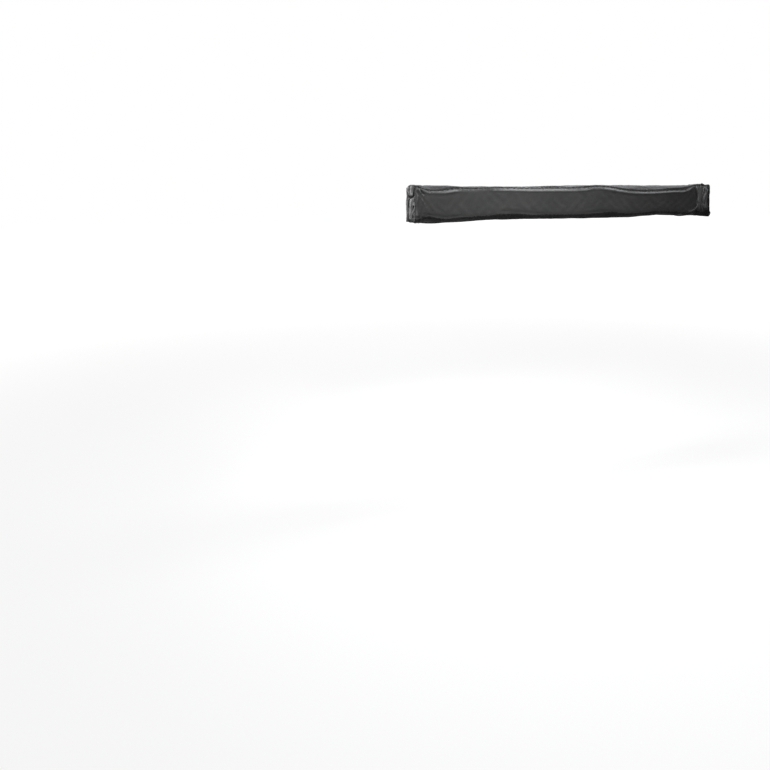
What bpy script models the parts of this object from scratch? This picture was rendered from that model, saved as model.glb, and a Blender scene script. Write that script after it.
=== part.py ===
# Vehicle side awning, stowed in its bag: a fan of four arms on a backing rail.
# Metres. +X runs along the vehicle to its rear, -Y points away from the vehicle and +Z is up.
# The origin is the middle of the backing rail's back face.

import math

import bmesh
import bpy
from mathutils import Matrix

# Clearances
GAP = 0.0003  # between pieces that touch
ROUND_SIDES = 20  # sides of a round piece
CORNER_STEPS = 5  # straight runs in a rounded corner of the bag
FOLD_STEPS = 3  # straight runs in a rounded corner of a folded canopy
BEAD_STEPS = 8  # straight runs round a fabric edge's bead and its groove
SMOOTH_ANGLE = 35  # degrees, up to which faces meet smoothly

# Backing rail, an extrusion that is open to the back
RAIL_LENGTH = 1.861
RAIL_HEIGHT = 0.140
RAIL_DEPTH = 0.022
RAIL_WALL = 0.0025
RAIL_FLANGE = 0.008
T_SLOT_MOUTH = 0.009
T_SLOT_WIDTH = 0.017
T_SLOT_DEPTH = 0.008
T_SLOT_LIP = 0.004
T_SLOT_WALL = 0.0025
T_SLOT_Z = 0.030  # the two T-slots lie this far above and below the middle
RAIL_RIB = 0.008
RAIL_MARK_WIDTH = 0.0015  # a scribed groove across the rib at each side of each bracket
RAIL_MARK_DEPTH = 0.0006
RAIL_MARK_CLEARANCE = 0.002
KEDER_BORE = 0.0028  # radius of the groove that holds a fabric edge
KEDER_MOUTH = 0.0024
KEDER_FROM_BACK = 0.006
KEDER_BEAD = 0.0024  # radius of the cord sewn in a fabric edge
KEDER_BLADE = 0.0014
END_CAP = 0.003
END_CAP_PLUG = 0.015

# Brackets that carry the rail on the rack's two crossbars
FRONT_BRACKET_X = -0.56
REAR_BRACKET_X = 0.44
BRACKET_WIDTH = 0.060
BRACKET_THICKNESS = 0.005
BRACKET_TOP_Z = 0.046
BRACKET_FOOT_Z = -0.076  # the face that lies on the crossbar
BRACKET_FOOT_REACH = 0.085
BRACKET_RIB = 0.005
BRACKET_RIB_REACH = 0.040
BRACKET_SLOT_WIDTH = 0.009
BRACKET_SLOT_LENGTH = 0.026
BRACKET_SLOT_SPACING = 0.034
BRACKET_SLOT_Y = 0.054
BRACKET_CORNER = 0.006
TONGUE_LENGTH = 0.0035  # the bracket's tongue in the lower T-slot
BOLT_RADIUS = 0.004
BOLT_HEAD_WIDTH = 0.013
BOLT_HEAD = 0.0053
WASHER_RADIUS = 0.008
WASHER = 0.0016
NUT_RADIUS = 0.0075
NUT = 0.0065
BOLT_END = 0.004  # thread past the nut

# Arms, side by side in front of the rail
ARM_COUNT = 4
ARM_WIDTH = 0.020
ARM_HEIGHT = 0.036
ARM_WALL = 0.0016
ARM_PITCH = 0.027
RAIL_PAST_TUBES = 0.075  # what the rail is longer than an arm's tube
ARM_BOTTOM_Z = -0.030
HUB_PLATE = 0.008
HUB_LENGTH = 0.110
HUB_BELOW = 0.022  # plate below the arms
HUB_ABOVE = 0.034  # plate above the arms
PIVOT_PAST_RAIL = 0.004
LUG_RADIUS = 0.008
LUG_CLEARANCE = 0.0005
LUG_HEIGHT = 0.012
PIN_RADIUS = 0.0035
PIN_HEAD_RADIUS = 0.006
PIN_HEAD = 0.0025
RUNNING = 0.0003  # between a pin and the bore that turns on it
KNUCKLE_LENGTH = 0.034
KNUCKLE_NOSE = 0.004
PLUG_LENGTH = 0.040

# Arm tip, with the ears that carry the leg
TIP_LENGTH = 0.036
LEG_PIVOT_FROM_TUBE = 0.018
LEG_BELOW_ARM = 0.0135
EAR_RADIUS = 0.009
EAR_THICKNESS = 0.0037
LEG_PIN_RADIUS = 0.003
LEG_PIN_HEAD_RADIUS = 0.005
LEG_PIN_HEAD = 0.0011

# Telescopic leg
LEG_OUTER_RADIUS = 0.010
LEG_INNER_RADIUS = 0.0085
LEG_WALL = 0.0012
LEG_OUTER_LENGTH = 0.900
LEG_TUBE_FROM_PIVOT = 0.018
LEG_EYE_RADIUS = 0.008
LEG_EYE_END = 0.006  # solid end of the outer tube
LEG_INNER_START = 0.040
COLLAR_RADIUS = 0.0125
COLLAR_ON_TUBE = 0.022
COLLAR_LIP = 0.010
COLLAR_BOSS_RADIUS = 0.006
COLLAR_BOSS_DROP = 0.003
KNOB_RADIUS = 0.0085
KNOB_LOBE = 0.0008
KNOB_LOBES = 6
KNOB_HEIGHT = 0.012
KNOB_STUD_RADIUS = 0.0025
FOOT_RADIUS = 0.0125
FOOT_LENGTH = 0.028
FOOT_CLEARANCE = 0.004  # between the collar and the foot
FOOT_SOLE = 0.010
FOOT_EDGE = 0.002

# Folded canopy panels, one above each arm
CANOPY_WIDTH = 0.024
CANOPY_HEIGHT = 0.066
CANOPY_LIFT = 0.004  # above the arm
CANOPY_CORNER = 0.007
CANOPY_FROM_PIVOT = 0.060
CANOPY_SHORT_OF_TIP = 0.020

# Bag round all of it
FABRIC = 0.002
ROOM_FRONT = 0.0055
ROOM_TOP = 0.010
ROOM_BELOW = 0.0117
ROOM_END = 0.0225
TOP_SEAM_DROP = 0.023  # the piped seam lies below the bag's top
BOTTOM_SEAM_RISE = 0.025
TOP_CORNER = 0.022
BOTTOM_CORNER = 0.024
END_HINGE_INSET = 0.0035

# Zip along the bag's top back edge
SLIDER_LENGTH = 0.014
SLIDER_WIDTH = 0.009
SLIDER_HEIGHT = 0.0045
SLIDER_FROM_END = 0.037
TAB_LENGTH = 0.024
TAB_WIDTH = 0.006
TAB_THICKNESS = 0.0014

# Places that follow from the sizes above
RAIL_HALF = RAIL_LENGTH / 2
ARM_TUBE_LENGTH = RAIL_LENGTH - RAIL_PAST_TUBES
RAIL_TOP_Z = RAIL_HEIGHT / 2
CAP_END_X = RAIL_HALF + GAP + END_CAP
ARM_SIDE_GAP = ARM_PITCH - ARM_WIDTH
PIVOT_X = CAP_END_X + PIVOT_PAST_RAIL
PIVOT_Y = -RAIL_DEPTH - GAP - HUB_PLATE - ARM_SIDE_GAP / 2
ARM_TOP_Z = ARM_BOTTOM_Z + ARM_HEIGHT
LUG_LOW_Z = (ARM_BOTTOM_Z + ARM_TOP_Z - LUG_HEIGHT) / 2
LUG_HIGH_Z = LUG_LOW_Z + LUG_HEIGHT
TUBE_START_X = -KNUCKLE_LENGTH - GAP
TUBE_END_X = TUBE_START_X - ARM_TUBE_LENGTH
LEG_PIVOT_X = TUBE_END_X - LEG_PIVOT_FROM_TUBE
LEG_PIVOT_Z = ARM_BOTTOM_Z - LEG_BELOW_ARM
LEG_TUBE_END = LEG_TUBE_FROM_PIVOT + LEG_OUTER_LENGTH
COLLAR_END = LEG_TUBE_END + COLLAR_LIP
COLLAR_MIDDLE = LEG_TUBE_END - COLLAR_ON_TUBE / 2
BOSS_END = COLLAR_RADIUS + COLLAR_BOSS_DROP
FOOT_START = COLLAR_END + FOOT_CLEARANCE
FOOT_END = FOOT_START + FOOT_LENGTH
CANOPY_LOW_Z = ARM_TOP_Z + CANOPY_LIFT
CANOPY_HIGH_Z = CANOPY_LOW_Z + CANOPY_HEIGHT
CONTENTS_FRONT_Y = PIVOT_Y - (ARM_COUNT - 0.5) * ARM_PITCH - max(ARM_WIDTH / 2, COLLAR_RADIUS, FOOT_RADIUS)
CONTENTS_LOW_Z = LEG_PIVOT_Z - BOSS_END - GAP - KNOB_HEIGHT
BAG_FRONT_Y = CONTENTS_FRONT_Y - ROOM_FRONT - FABRIC
BAG_TOP_Z = max(CANOPY_HIGH_Z, RAIL_TOP_Z) + ROOM_TOP + FABRIC
BAG_LOW_Z = min(CONTENTS_LOW_Z, -RAIL_TOP_Z) - ROOM_BELOW - FABRIC
BAG_HALF = CAP_END_X + ROOM_END + FABRIC + GAP
PANEL_HALF = BAG_HALF - FABRIC - GAP
TOP_SEAM_Z = BAG_TOP_Z - TOP_SEAM_DROP
BOTTOM_SEAM_Z = BAG_LOW_Z + BOTTOM_SEAM_RISE
END_FOLD_X = BAG_HALF - FABRIC - END_HINGE_INSET / 2
KEDER_Y = -KEDER_FROM_BACK
KEDER_Z = RAIL_TOP_Z - RAIL_FLANGE / 2


def material(name, colour, roughness, metallic=0.0):
    made = bpy.data.materials.new(name)
    made.use_nodes = True
    shader = made.node_tree.nodes["Principled BSDF"]
    shader.inputs["Base Color"].default_value = (*colour, 1.0)
    shader.inputs["Roughness"].default_value = roughness
    shader.inputs["Metallic"].default_value = metallic
    return made


def finish_mesh(name, shape):
    bmesh.ops.recalc_face_normals(shape, faces=shape.faces)
    mesh = bpy.data.meshes.new(name)
    shape.to_mesh(mesh)
    shape.free()
    mesh.shade_smooth()
    mesh.set_sharp_from_angle(angle=math.radians(SMOOTH_ANGLE))
    return mesh


# Joins rings that have the same number of points, then closes the shape with caps or on itself.
def loft(name, rings, ring_shaped=False):
    shape = bmesh.new()
    loops = [[shape.verts.new(point) for point in ring] for ring in rings]
    count = len(loops[0])
    pairs = list(zip(loops, loops[1:]))
    if ring_shaped:
        pairs.append((loops[-1], loops[0]))
    else:
        shape.faces.new(loops[0])
        shape.faces.new(loops[-1])
    for first, second in pairs:
        for i in range(count):
            j = (i + 1) % count
            shape.faces.new((first[i], first[j], second[j], second[i]))
    return finish_mesh(name, shape)


def box(name, low, high):
    shape = bmesh.new()
    bmesh.ops.create_cube(shape, size=1.0)
    middle = [(a + b) / 2 for a, b in zip(low, high)]
    size = [b - a for a, b in zip(low, high)]
    bmesh.ops.transform(shape, verts=shape.verts, matrix=Matrix.Diagonal((*size, 1.0)))
    bmesh.ops.translate(shape, verts=shape.verts, vec=middle)
    return finish_mesh(name, shape)


# An outline of (y, z) points, drawn out along X.
def prism_x(name, outline, start, end):
    return loft(name, [[(x, y, z) for y, z in outline] for x in (start, end)])


# A turned shape: (radius, distance) points along an axis that starts at a centre.
def turned(name, profile, axis, centre=(0, 0, 0), ring_shaped=False, sides=ROUND_SIDES):
    order = {"X": (2, 0, 1), "Y": (1, 2, 0), "Z": (0, 1, 2)}[axis]
    rings = []
    for radius, along in profile:
        ring = []
        for i in range(sides):
            turn = 2 * math.pi * (i + 0.5) / sides
            local = (radius * math.cos(turn), radius * math.sin(turn), along)
            ring.append(tuple(centre[k] + local[order[k]] for k in range(3)))
        rings.append(ring)
    return loft(name, rings, ring_shaped)


def cylinder(name, radius, start, end, axis, centre=(0, 0, 0), sides=ROUND_SIDES):
    return turned(name, [(radius, start), (radius, end)], axis, centre, sides=sides)


# Adds and cuts shapes in turn, and returns the mesh that is left.
def combined(name, base, steps):
    holder = bpy.data.objects.new(name, base)
    bpy.context.scene.collection.objects.link(holder)
    tools = []
    for operation, mesh in steps:
        tool = bpy.data.objects.new(name + "_tool", mesh)
        bpy.context.scene.collection.objects.link(tool)
        tool.display_type = "WIRE"
        tool.hide_render = True
        step = holder.modifiers.new(operation.lower(), "BOOLEAN")
        step.operation = operation
        step.solver = "EXACT"
        step.object = tool
        tools.append(tool)
    graph = bpy.context.evaluated_depsgraph_get()
    result = bpy.data.meshes.new_from_object(holder.evaluated_get(graph))
    result.name = name
    for made in [holder, *tools]:
        bpy.data.objects.remove(made)
    result.shade_smooth()
    result.set_sharp_from_angle(angle=math.radians(SMOOTH_ANGLE))
    return result


def add_empty(name, location, parent=None):
    empty = bpy.data.objects.new(name, None)
    empty.empty_display_size = 0.03
    empty.location = location
    empty.parent = parent
    bpy.context.scene.collection.objects.link(empty)
    return empty


def add_piece(name, mesh, look, parent, location=(0, 0, 0)):
    piece = bpy.data.objects.new(name, mesh)
    piece.location = location
    piece.parent = parent
    bpy.context.scene.collection.objects.link(piece)
    piece.data.materials.clear()
    piece.data.materials.append(look)
    return piece


def looks():
    return {
        "rail_aluminium": material("rail_aluminium", (0.50, 0.51, 0.52), 0.35, 1.0),
        "tube_aluminium": material("tube_aluminium", (0.55, 0.56, 0.57), 0.30, 1.0),
        "cast_black": material("cast_black", (0.030, 0.031, 0.033), 0.50),
        "bracket_black": material("bracket_black", (0.022, 0.023, 0.025), 0.55),
        "bright_steel": material("bright_steel", (0.60, 0.60, 0.59), 0.30, 1.0),
        "black_plastic": material("black_plastic", (0.020, 0.020, 0.022), 0.45),
        "foot_rubber": material("foot_rubber", (0.018, 0.018, 0.018), 0.80),
        "canopy_cloth": material("canopy_cloth", (0.11, 0.115, 0.12), 0.85),
        "bag_cloth": material("bag_cloth", (0.045, 0.047, 0.050), 0.55),
    }


# The groove for a fabric edge, seen along X, as points from one side of its mouth to the other.
def keder_groove(face_z, inward):
    half = math.asin(KEDER_MOUTH / 2 / KEDER_BORE)
    middle_z = face_z + inward * RAIL_FLANGE / 2
    turns = [half + (2 * math.pi - 2 * half) * i / BEAD_STEPS for i in range(BEAD_STEPS + 1)]
    round_part = [
        (KEDER_Y - KEDER_BORE * math.sin(a), middle_z - inward * KEDER_BORE * math.cos(a)) for a in turns
    ]
    return [(KEDER_Y - KEDER_MOUTH / 2, face_z), *round_part, (KEDER_Y + KEDER_MOUTH / 2, face_z)]


def rail_outline():
    front = -RAIL_DEPTH
    inside = front + RAIL_WALL
    boss = T_SLOT_WIDTH / 2 + T_SLOT_WALL
    slot_floor = -T_SLOT_LIP - T_SLOT_DEPTH
    slot_half = [
        (inside, boss),
        (0, boss),
        (0, T_SLOT_MOUTH / 2),
        (-T_SLOT_LIP, T_SLOT_MOUTH / 2),
        (-T_SLOT_LIP, T_SLOT_WIDTH / 2),
        (slot_floor, T_SLOT_WIDTH / 2),
    ]
    upper = [
        *keder_groove(RAIL_TOP_Z, -1),
        (0, RAIL_TOP_Z),
        (0, RAIL_TOP_Z - RAIL_FLANGE),
        (inside, RAIL_TOP_Z - RAIL_FLANGE),
        *[(y, T_SLOT_Z + z) for y, z in slot_half],
        *[(y, T_SLOT_Z - z) for y, z in reversed(slot_half)],
        (inside, RAIL_RIB / 2),
        (0, RAIL_RIB / 2),
    ]
    lower = [(y, -z) for y, z in reversed(upper)]
    return [(front, RAIL_TOP_Z), *upper, *lower, (front, -RAIL_TOP_Z)]


def backing_rail():
    half_rib = RAIL_RIB / 2 + GAP
    from_bracket = BRACKET_WIDTH / 2 + RAIL_MARK_CLEARANCE
    steps = []
    for bracket_x in (FRONT_BRACKET_X, REAR_BRACKET_X):
        for side in (-1, 1):
            ends = sorted(bracket_x + side * a for a in (from_bracket, from_bracket + RAIL_MARK_WIDTH))
            low = (ends[0], -RAIL_MARK_DEPTH, -half_rib)
            high = (ends[1], RAIL_MARK_DEPTH, half_rib)
            steps.append(("DIFFERENCE", box("mark", low, high)))
    return combined("backing_rail", prism_x("rail", rail_outline(), -RAIL_HALF, RAIL_HALF), steps)


def end_cap(name, side):
    inner = RAIL_HALF + GAP
    cap = box(
        name,
        (min(side * inner, side * CAP_END_X), -RAIL_DEPTH, -RAIL_TOP_Z),
        (max(side * inner, side * CAP_END_X), 0, RAIL_TOP_Z),
    )
    plug_end = RAIL_HALF - END_CAP_PLUG
    plug_start = inner + END_CAP / 2
    steps = []
    for up in (1, -1):
        z_near = up * (T_SLOT_Z + T_SLOT_WIDTH / 2 + T_SLOT_WALL + GAP)
        z_far = up * (RAIL_TOP_Z - RAIL_FLANGE - GAP)
        low = (min(side * plug_end, side * plug_start), -RAIL_DEPTH + RAIL_WALL + GAP, min(z_near, z_far))
        high = (max(side * plug_end, side * plug_start), -GAP, max(z_near, z_far))
        steps.append(("UNION", box("plug", low, high)))
    return combined(name, cap, steps)


# An L-bracket about its own middle in X, with a rib, two slotted holes in its foot and a tongue in
# the lower T-slot that keeps it from turning.
def bracket():
    half = BRACKET_WIDTH / 2
    back = GAP
    inner = back + BRACKET_THICKNESS
    foot_top = BRACKET_FOOT_Z + BRACKET_THICKNESS
    corner = BRACKET_CORNER
    outline = [
        (back, BRACKET_FOOT_Z),
        (BRACKET_FOOT_REACH, BRACKET_FOOT_Z),
        (BRACKET_FOOT_REACH, foot_top),
        (inner + corner, foot_top),
        (inner, foot_top + corner),
        (inner, BRACKET_TOP_Z),
        (back, BRACKET_TOP_Z),
    ]
    plate = prism_x("bracket", outline, -half, half)
    rib_foot = foot_top - BRACKET_THICKNESS / 2
    rib_back = inner - BRACKET_THICKNESS / 2
    rib_top = T_SLOT_Z - WASHER_RADIUS - BRACKET_THICKNESS
    rib_outline = [(rib_back, rib_foot), (inner + BRACKET_RIB_REACH, rib_foot), (rib_back, rib_top)]
    steps = [("UNION", prism_x("rib", rib_outline, -BRACKET_RIB / 2, BRACKET_RIB / 2))]
    tongue_half = T_SLOT_MOUTH / 2 - GAP
    tongue_low = (-half, -TONGUE_LENGTH, -T_SLOT_Z - tongue_half)
    tongue_high = (half, back + BRACKET_THICKNESS / 2, -T_SLOT_Z + tongue_half)
    steps.append(("UNION", box("tongue", tongue_low, tongue_high)))
    hole_radius = BOLT_RADIUS + RUNNING
    bolt_place = (0, 0, T_SLOT_Z)
    steps.append(("DIFFERENCE", cylinder("hole", hole_radius, -inner, 2 * inner, "Y", bolt_place)))
    for side in (-1, 1):
        x = side * BRACKET_SLOT_SPACING / 2
        rings = []
        for z in (BRACKET_FOOT_Z - BRACKET_THICKNESS, foot_top + BRACKET_THICKNESS):
            rings.append([(x + a, BRACKET_SLOT_Y + b, z) for a, b in slot_outline()])
        steps.append(("DIFFERENCE", loft("slot", rings)))
    return combined("bracket", plate, steps)


# A slotted hole that runs along Y, about its own middle.
def slot_outline():
    radius = BRACKET_SLOT_WIDTH / 2
    reach = BRACKET_SLOT_LENGTH / 2 - radius
    half = ROUND_SIDES // 2
    ends = []
    for end, turned_by in ((1, 0), (-1, math.pi)):
        for i in range(half + 1):
            turn = turned_by + math.pi * i / half
            ends.append((radius * math.cos(turn), end * reach + radius * math.sin(turn)))
    return ends


# A T-bolt with its washer and nut, about its own axis along Y.
def bracket_bolt():
    head_back = -T_SLOT_LIP - GAP
    head = turned(
        "head",
        [(BOLT_HEAD_WIDTH / 2 / math.cos(math.pi / 6), head_back - BOLT_HEAD),
         (BOLT_HEAD_WIDTH / 2 / math.cos(math.pi / 6), head_back)],
        "Y", sides=6,
    )
    washer_start = GAP + BRACKET_THICKNESS + GAP
    nut_start = washer_start + WASHER
    nut_end = nut_start + NUT
    overlap = WASHER / 2
    steps = [
        ("UNION", cylinder("shank", BOLT_RADIUS, head_back - BOLT_HEAD / 2, nut_end + BOLT_END, "Y")),
        ("UNION", cylinder("washer", WASHER_RADIUS, washer_start, nut_start, "Y")),
        ("UNION", cylinder("nut", NUT_RADIUS, nut_start - overlap, nut_end, "Y", sides=6)),
    ]
    return combined("bracket_bolt", head, steps)


# The hub bracket about the first hinge pin: a plate on the rail's front face with one lug.
def hub_bracket():
    plate_front = ARM_SIDE_GAP / 2
    plate = box(
        "hub_bracket",
        (KNUCKLE_NOSE - HUB_LENGTH, plate_front, ARM_BOTTOM_Z - HUB_BELOW),
        (KNUCKLE_NOSE, plate_front + HUB_PLATE, ARM_TOP_Z + HUB_ABOVE),
    )
    cut = LUG_RADIUS + LUG_CLEARANCE
    above = ARM_TOP_Z + PIN_HEAD + 2 * LUG_CLEARANCE
    below = ARM_BOTTOM_Z - PIN_HEAD - 2 * LUG_CLEARANCE
    steps = [
        ("DIFFERENCE", cylinder("upper_notch", cut, LUG_HIGH_Z, above, "Z")),
        ("DIFFERENCE", cylinder("lower_notch", cut, below, LUG_LOW_Z, "Z")),
        ("UNION", cylinder("lug", LUG_RADIUS, LUG_LOW_Z, LUG_HIGH_Z, "Z")),
        ("DIFFERENCE", cylinder("bore", PIN_RADIUS + RUNNING, LUG_LOW_Z - cut, LUG_HIGH_Z + cut, "Z")),
    ]
    return combined("hub_bracket", plate, steps)


# A knuckle about its own hinge pin. The arm's middle lies half a pitch outboard of that pin.
def knuckle(carries_next):
    middle_y = -ARM_PITCH / 2
    half = ARM_WIDTH / 2
    inset = ARM_WALL + GAP
    block = box(
        "knuckle",
        (-KNUCKLE_LENGTH, middle_y - half, ARM_BOTTOM_Z),
        (KNUCKLE_NOSE, middle_y + half, ARM_TOP_Z),
    )
    plug = box(
        "plug",
        (-KNUCKLE_LENGTH - PLUG_LENGTH, middle_y - half + inset, ARM_BOTTOM_Z + inset),
        (-KNUCKLE_LENGTH / 2, middle_y + half - inset, ARM_TOP_Z - inset),
    )
    cut = LUG_RADIUS + LUG_CLEARANCE
    bore = PIN_RADIUS + RUNNING
    above = ARM_TOP_Z + cut
    below = ARM_BOTTOM_Z - cut
    low = LUG_LOW_Z - LUG_CLEARANCE
    high = LUG_HIGH_Z + LUG_CLEARANCE
    steps = [
        ("UNION", plug),
        ("UNION", cylinder("upper_lug", LUG_RADIUS, high, ARM_TOP_Z, "Z")),
        ("UNION", cylinder("lower_lug", LUG_RADIUS, ARM_BOTTOM_Z, low, "Z")),
        ("DIFFERENCE", cylinder("middle_notch", cut, low, high, "Z")),
        ("DIFFERENCE", cylinder("bore", bore, below, above, "Z")),
    ]
    if carries_next:
        next_pin = (0, -ARM_PITCH, 0)
        steps += [
            ("DIFFERENCE", cylinder("upper_notch", cut, LUG_HIGH_Z, above, "Z", next_pin)),
            ("DIFFERENCE", cylinder("lower_notch", cut, below, LUG_LOW_Z, "Z", next_pin)),
            ("UNION", cylinder("middle_lug", LUG_RADIUS, LUG_LOW_Z, LUG_HIGH_Z, "Z", next_pin)),
            ("DIFFERENCE", cylinder("next_bore", bore, below, above, "Z", next_pin)),
        ]
    return combined("knuckle", block, steps)


def hinge_pin():
    low = ARM_BOTTOM_Z - GAP
    high = ARM_TOP_Z + GAP
    profile = [
        (PIN_HEAD_RADIUS, low - PIN_HEAD),
        (PIN_HEAD_RADIUS, low),
        (PIN_RADIUS, low),
        (PIN_RADIUS, high),
        (PIN_HEAD_RADIUS, high),
        (PIN_HEAD_RADIUS, high + PIN_HEAD),
    ]
    return turned("hinge_pin", profile, "Z")


def rectangle(half_width, low, high):
    return [(-half_width, low), (half_width, low), (half_width, high), (-half_width, high)]


def arm_tube():
    middle_y = -ARM_PITCH / 2
    outer = rectangle(ARM_WIDTH / 2, ARM_BOTTOM_Z, ARM_TOP_Z)
    inner = rectangle(ARM_WIDTH / 2 - ARM_WALL, ARM_BOTTOM_Z + ARM_WALL, ARM_TOP_Z - ARM_WALL)
    ends = [(TUBE_END_X, outer), (TUBE_START_X, outer), (TUBE_START_X, inner), (TUBE_END_X, inner)]
    rings = [[(x, middle_y + y, z) for y, z in outline] for x, outline in ends]
    return loft("arm_tube", rings, ring_shaped=True)


def arm_tip():
    middle_y = -ARM_PITCH / 2
    half = ARM_WIDTH / 2
    inset = ARM_WALL + GAP
    block = box(
        "arm_tip",
        (TUBE_END_X - TIP_LENGTH, middle_y - half, ARM_BOTTOM_Z),
        (TUBE_END_X - GAP, middle_y + half, ARM_TOP_Z),
    )
    plug = box(
        "plug",
        (TUBE_END_X - TIP_LENGTH / 2, middle_y - half + inset, ARM_BOTTOM_Z + inset),
        (TUBE_END_X + PLUG_LENGTH, middle_y + half - inset, ARM_TOP_Z - inset),
    )
    pivot = (LEG_PIVOT_X, middle_y, LEG_PIVOT_Z)
    steps = [("UNION", plug)]
    for side in (-1, 1):
        near = side * (half - EAR_THICKNESS)
        far = side * half
        low_y, high_y = min(near, far), max(near, far)
        ear_box = box(
            "ear",
            (LEG_PIVOT_X - EAR_RADIUS, middle_y + low_y, LEG_PIVOT_Z),
            (LEG_PIVOT_X + EAR_RADIUS, middle_y + high_y, ARM_BOTTOM_Z + ARM_WALL),
        )
        steps.append(("UNION", cylinder("ear_end", EAR_RADIUS, low_y, high_y, "Y", pivot)))
        steps.append(("UNION", ear_box))
    bore = LEG_PIN_RADIUS + RUNNING
    steps.append(("DIFFERENCE", cylinder("bore", bore, -ARM_WIDTH, ARM_WIDTH, "Y", pivot)))
    return combined("arm_tip", block, steps)


def leg_pin():
    seat = ARM_WIDTH / 2 + GAP
    profile = [
        (LEG_PIN_HEAD_RADIUS, -seat - LEG_PIN_HEAD),
        (LEG_PIN_HEAD_RADIUS, -seat),
        (LEG_PIN_RADIUS, -seat),
        (LEG_PIN_RADIUS, seat),
        (LEG_PIN_HEAD_RADIUS, seat),
        (LEG_PIN_HEAD_RADIUS, seat + LEG_PIN_HEAD),
    ]
    return turned("leg_pin", profile, "Y")


# The leg's pieces lie along +X from the pivot at their origin.
def leg_outer():
    bore_radius = LEG_OUTER_RADIUS - LEG_WALL
    tube = turned(
        "leg_outer",
        [
            (LEG_OUTER_RADIUS, LEG_TUBE_FROM_PIVOT),
            (LEG_OUTER_RADIUS, LEG_TUBE_END),
            (bore_radius, LEG_TUBE_END),
            (bore_radius, LEG_TUBE_FROM_PIVOT + LEG_EYE_END),
        ],
        "X",
    )
    eye_half = ARM_WIDTH / 2 - EAR_THICKNESS - GAP
    eye_end = LEG_TUBE_FROM_PIVOT + LEG_EYE_END / 2
    steps = [
        ("UNION", box("neck", (0, -eye_half, -LEG_EYE_RADIUS), (eye_end, eye_half, LEG_EYE_RADIUS))),
        ("UNION", cylinder("eye", LEG_EYE_RADIUS, -eye_half, eye_half, "Y")),
        ("DIFFERENCE", cylinder("bore", LEG_PIN_RADIUS + RUNNING, -ARM_WIDTH, ARM_WIDTH, "Y")),
    ]
    return combined("leg_outer", tube, steps)


def leg_collar():
    on_tube = LEG_OUTER_RADIUS + RUNNING
    on_inner = LEG_INNER_RADIUS + RUNNING
    start = LEG_TUBE_END - COLLAR_ON_TUBE
    ring = turned(
        "leg_collar",
        [
            (COLLAR_RADIUS, start),
            (COLLAR_RADIUS, COLLAR_END),
            (on_inner, COLLAR_END),
            (on_inner, LEG_TUBE_END + GAP),
            (on_tube, LEG_TUBE_END + GAP),
            (on_tube, start),
        ],
        "X",
        ring_shaped=True,
    )
    centre = (COLLAR_MIDDLE, 0, 0)
    wall_middle = (COLLAR_RADIUS + on_tube) / 2
    stud_bore = KNOB_STUD_RADIUS + RUNNING
    steps = [
        ("UNION", cylinder("boss", COLLAR_BOSS_RADIUS, -BOSS_END, -wall_middle, "Z", centre)),
        ("DIFFERENCE", cylinder("boss_bore", stud_bore, -BOSS_END - KNOB_HEIGHT, 0, "Z", centre)),
    ]
    return combined("leg_collar", ring, steps)


# The clamp knob about its own axis, which runs down from the leg's middle line.
def leg_knob():
    top = -BOSS_END - GAP
    low = top - KNOB_HEIGHT
    rings = []
    for z in (low, top):
        ring = []
        for i in range(2 * ROUND_SIDES):
            turn = math.pi * i / ROUND_SIDES
            radius = KNOB_RADIUS + KNOB_LOBE * math.cos(KNOB_LOBES * turn)
            ring.append((radius * math.cos(turn), radius * math.sin(turn), z))
        rings.append(ring)
    stud_end = -LEG_OUTER_RADIUS - RUNNING
    stud = cylinder("stud", KNOB_STUD_RADIUS, top - KNOB_HEIGHT / 2, stud_end, "Z")
    return combined("leg_knob", loft("leg_knob", rings), [("UNION", stud)])


def leg_inner():
    end = FOOT_END - FOOT_SOLE - GAP
    profile = [
        (LEG_INNER_RADIUS, LEG_INNER_START),
        (LEG_INNER_RADIUS, end),
        (LEG_INNER_RADIUS - LEG_WALL, end),
        (LEG_INNER_RADIUS - LEG_WALL, LEG_INNER_START),
    ]
    return turned("leg_inner", profile, "X", ring_shaped=True)


def leg_foot():
    socket = LEG_INNER_RADIUS + GAP
    profile = [
        (socket, FOOT_END - FOOT_SOLE),
        (socket, FOOT_START),
        (FOOT_RADIUS - FOOT_EDGE, FOOT_START),
        (FOOT_RADIUS, FOOT_START + FOOT_EDGE),
        (FOOT_RADIUS, FOOT_END - FOOT_EDGE),
        (FOOT_RADIUS - FOOT_EDGE, FOOT_END),
    ]
    return turned("leg_foot", profile, "X")


def arc(centre, radius, start, end, steps=CORNER_STEPS):
    turns = [math.radians(start + (end - start) * i / steps) for i in range(steps + 1)]
    return [(centre[0] + radius * math.cos(a), centre[1] + radius * math.sin(a)) for a in turns]


def canopy_panel():
    middle_y = -ARM_PITCH / 2
    reach = CANOPY_WIDTH / 2 - CANOPY_CORNER
    low = CANOPY_LOW_Z + CANOPY_CORNER
    high = CANOPY_HIGH_Z - CANOPY_CORNER
    outline = [
        *arc((middle_y + reach, low), CANOPY_CORNER, -90, 0, FOLD_STEPS),
        *arc((middle_y + reach, high), CANOPY_CORNER, 0, 90, FOLD_STEPS),
        *arc((middle_y - reach, high), CANOPY_CORNER, 90, 180, FOLD_STEPS),
        *arc((middle_y - reach, low), CANOPY_CORNER, 180, 270, FOLD_STEPS),
    ]
    return prism_x("canopy_panel", outline, TUBE_END_X + CANOPY_SHORT_OF_TIP, -CANOPY_FROM_PIVOT)


# The bag's lower outline, round its corner and up to the lower front seam, at a depth inside the cloth.
def bottom_run(inside):
    radius = BOTTOM_CORNER - inside
    centre = (BAG_FRONT_Y + BOTTOM_CORNER, BAG_LOW_Z + BOTTOM_CORNER)
    corner = arc(centre, radius, 270, 180)
    return [*corner, (BAG_FRONT_Y + inside, BOTTOM_SEAM_Z)]


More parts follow.
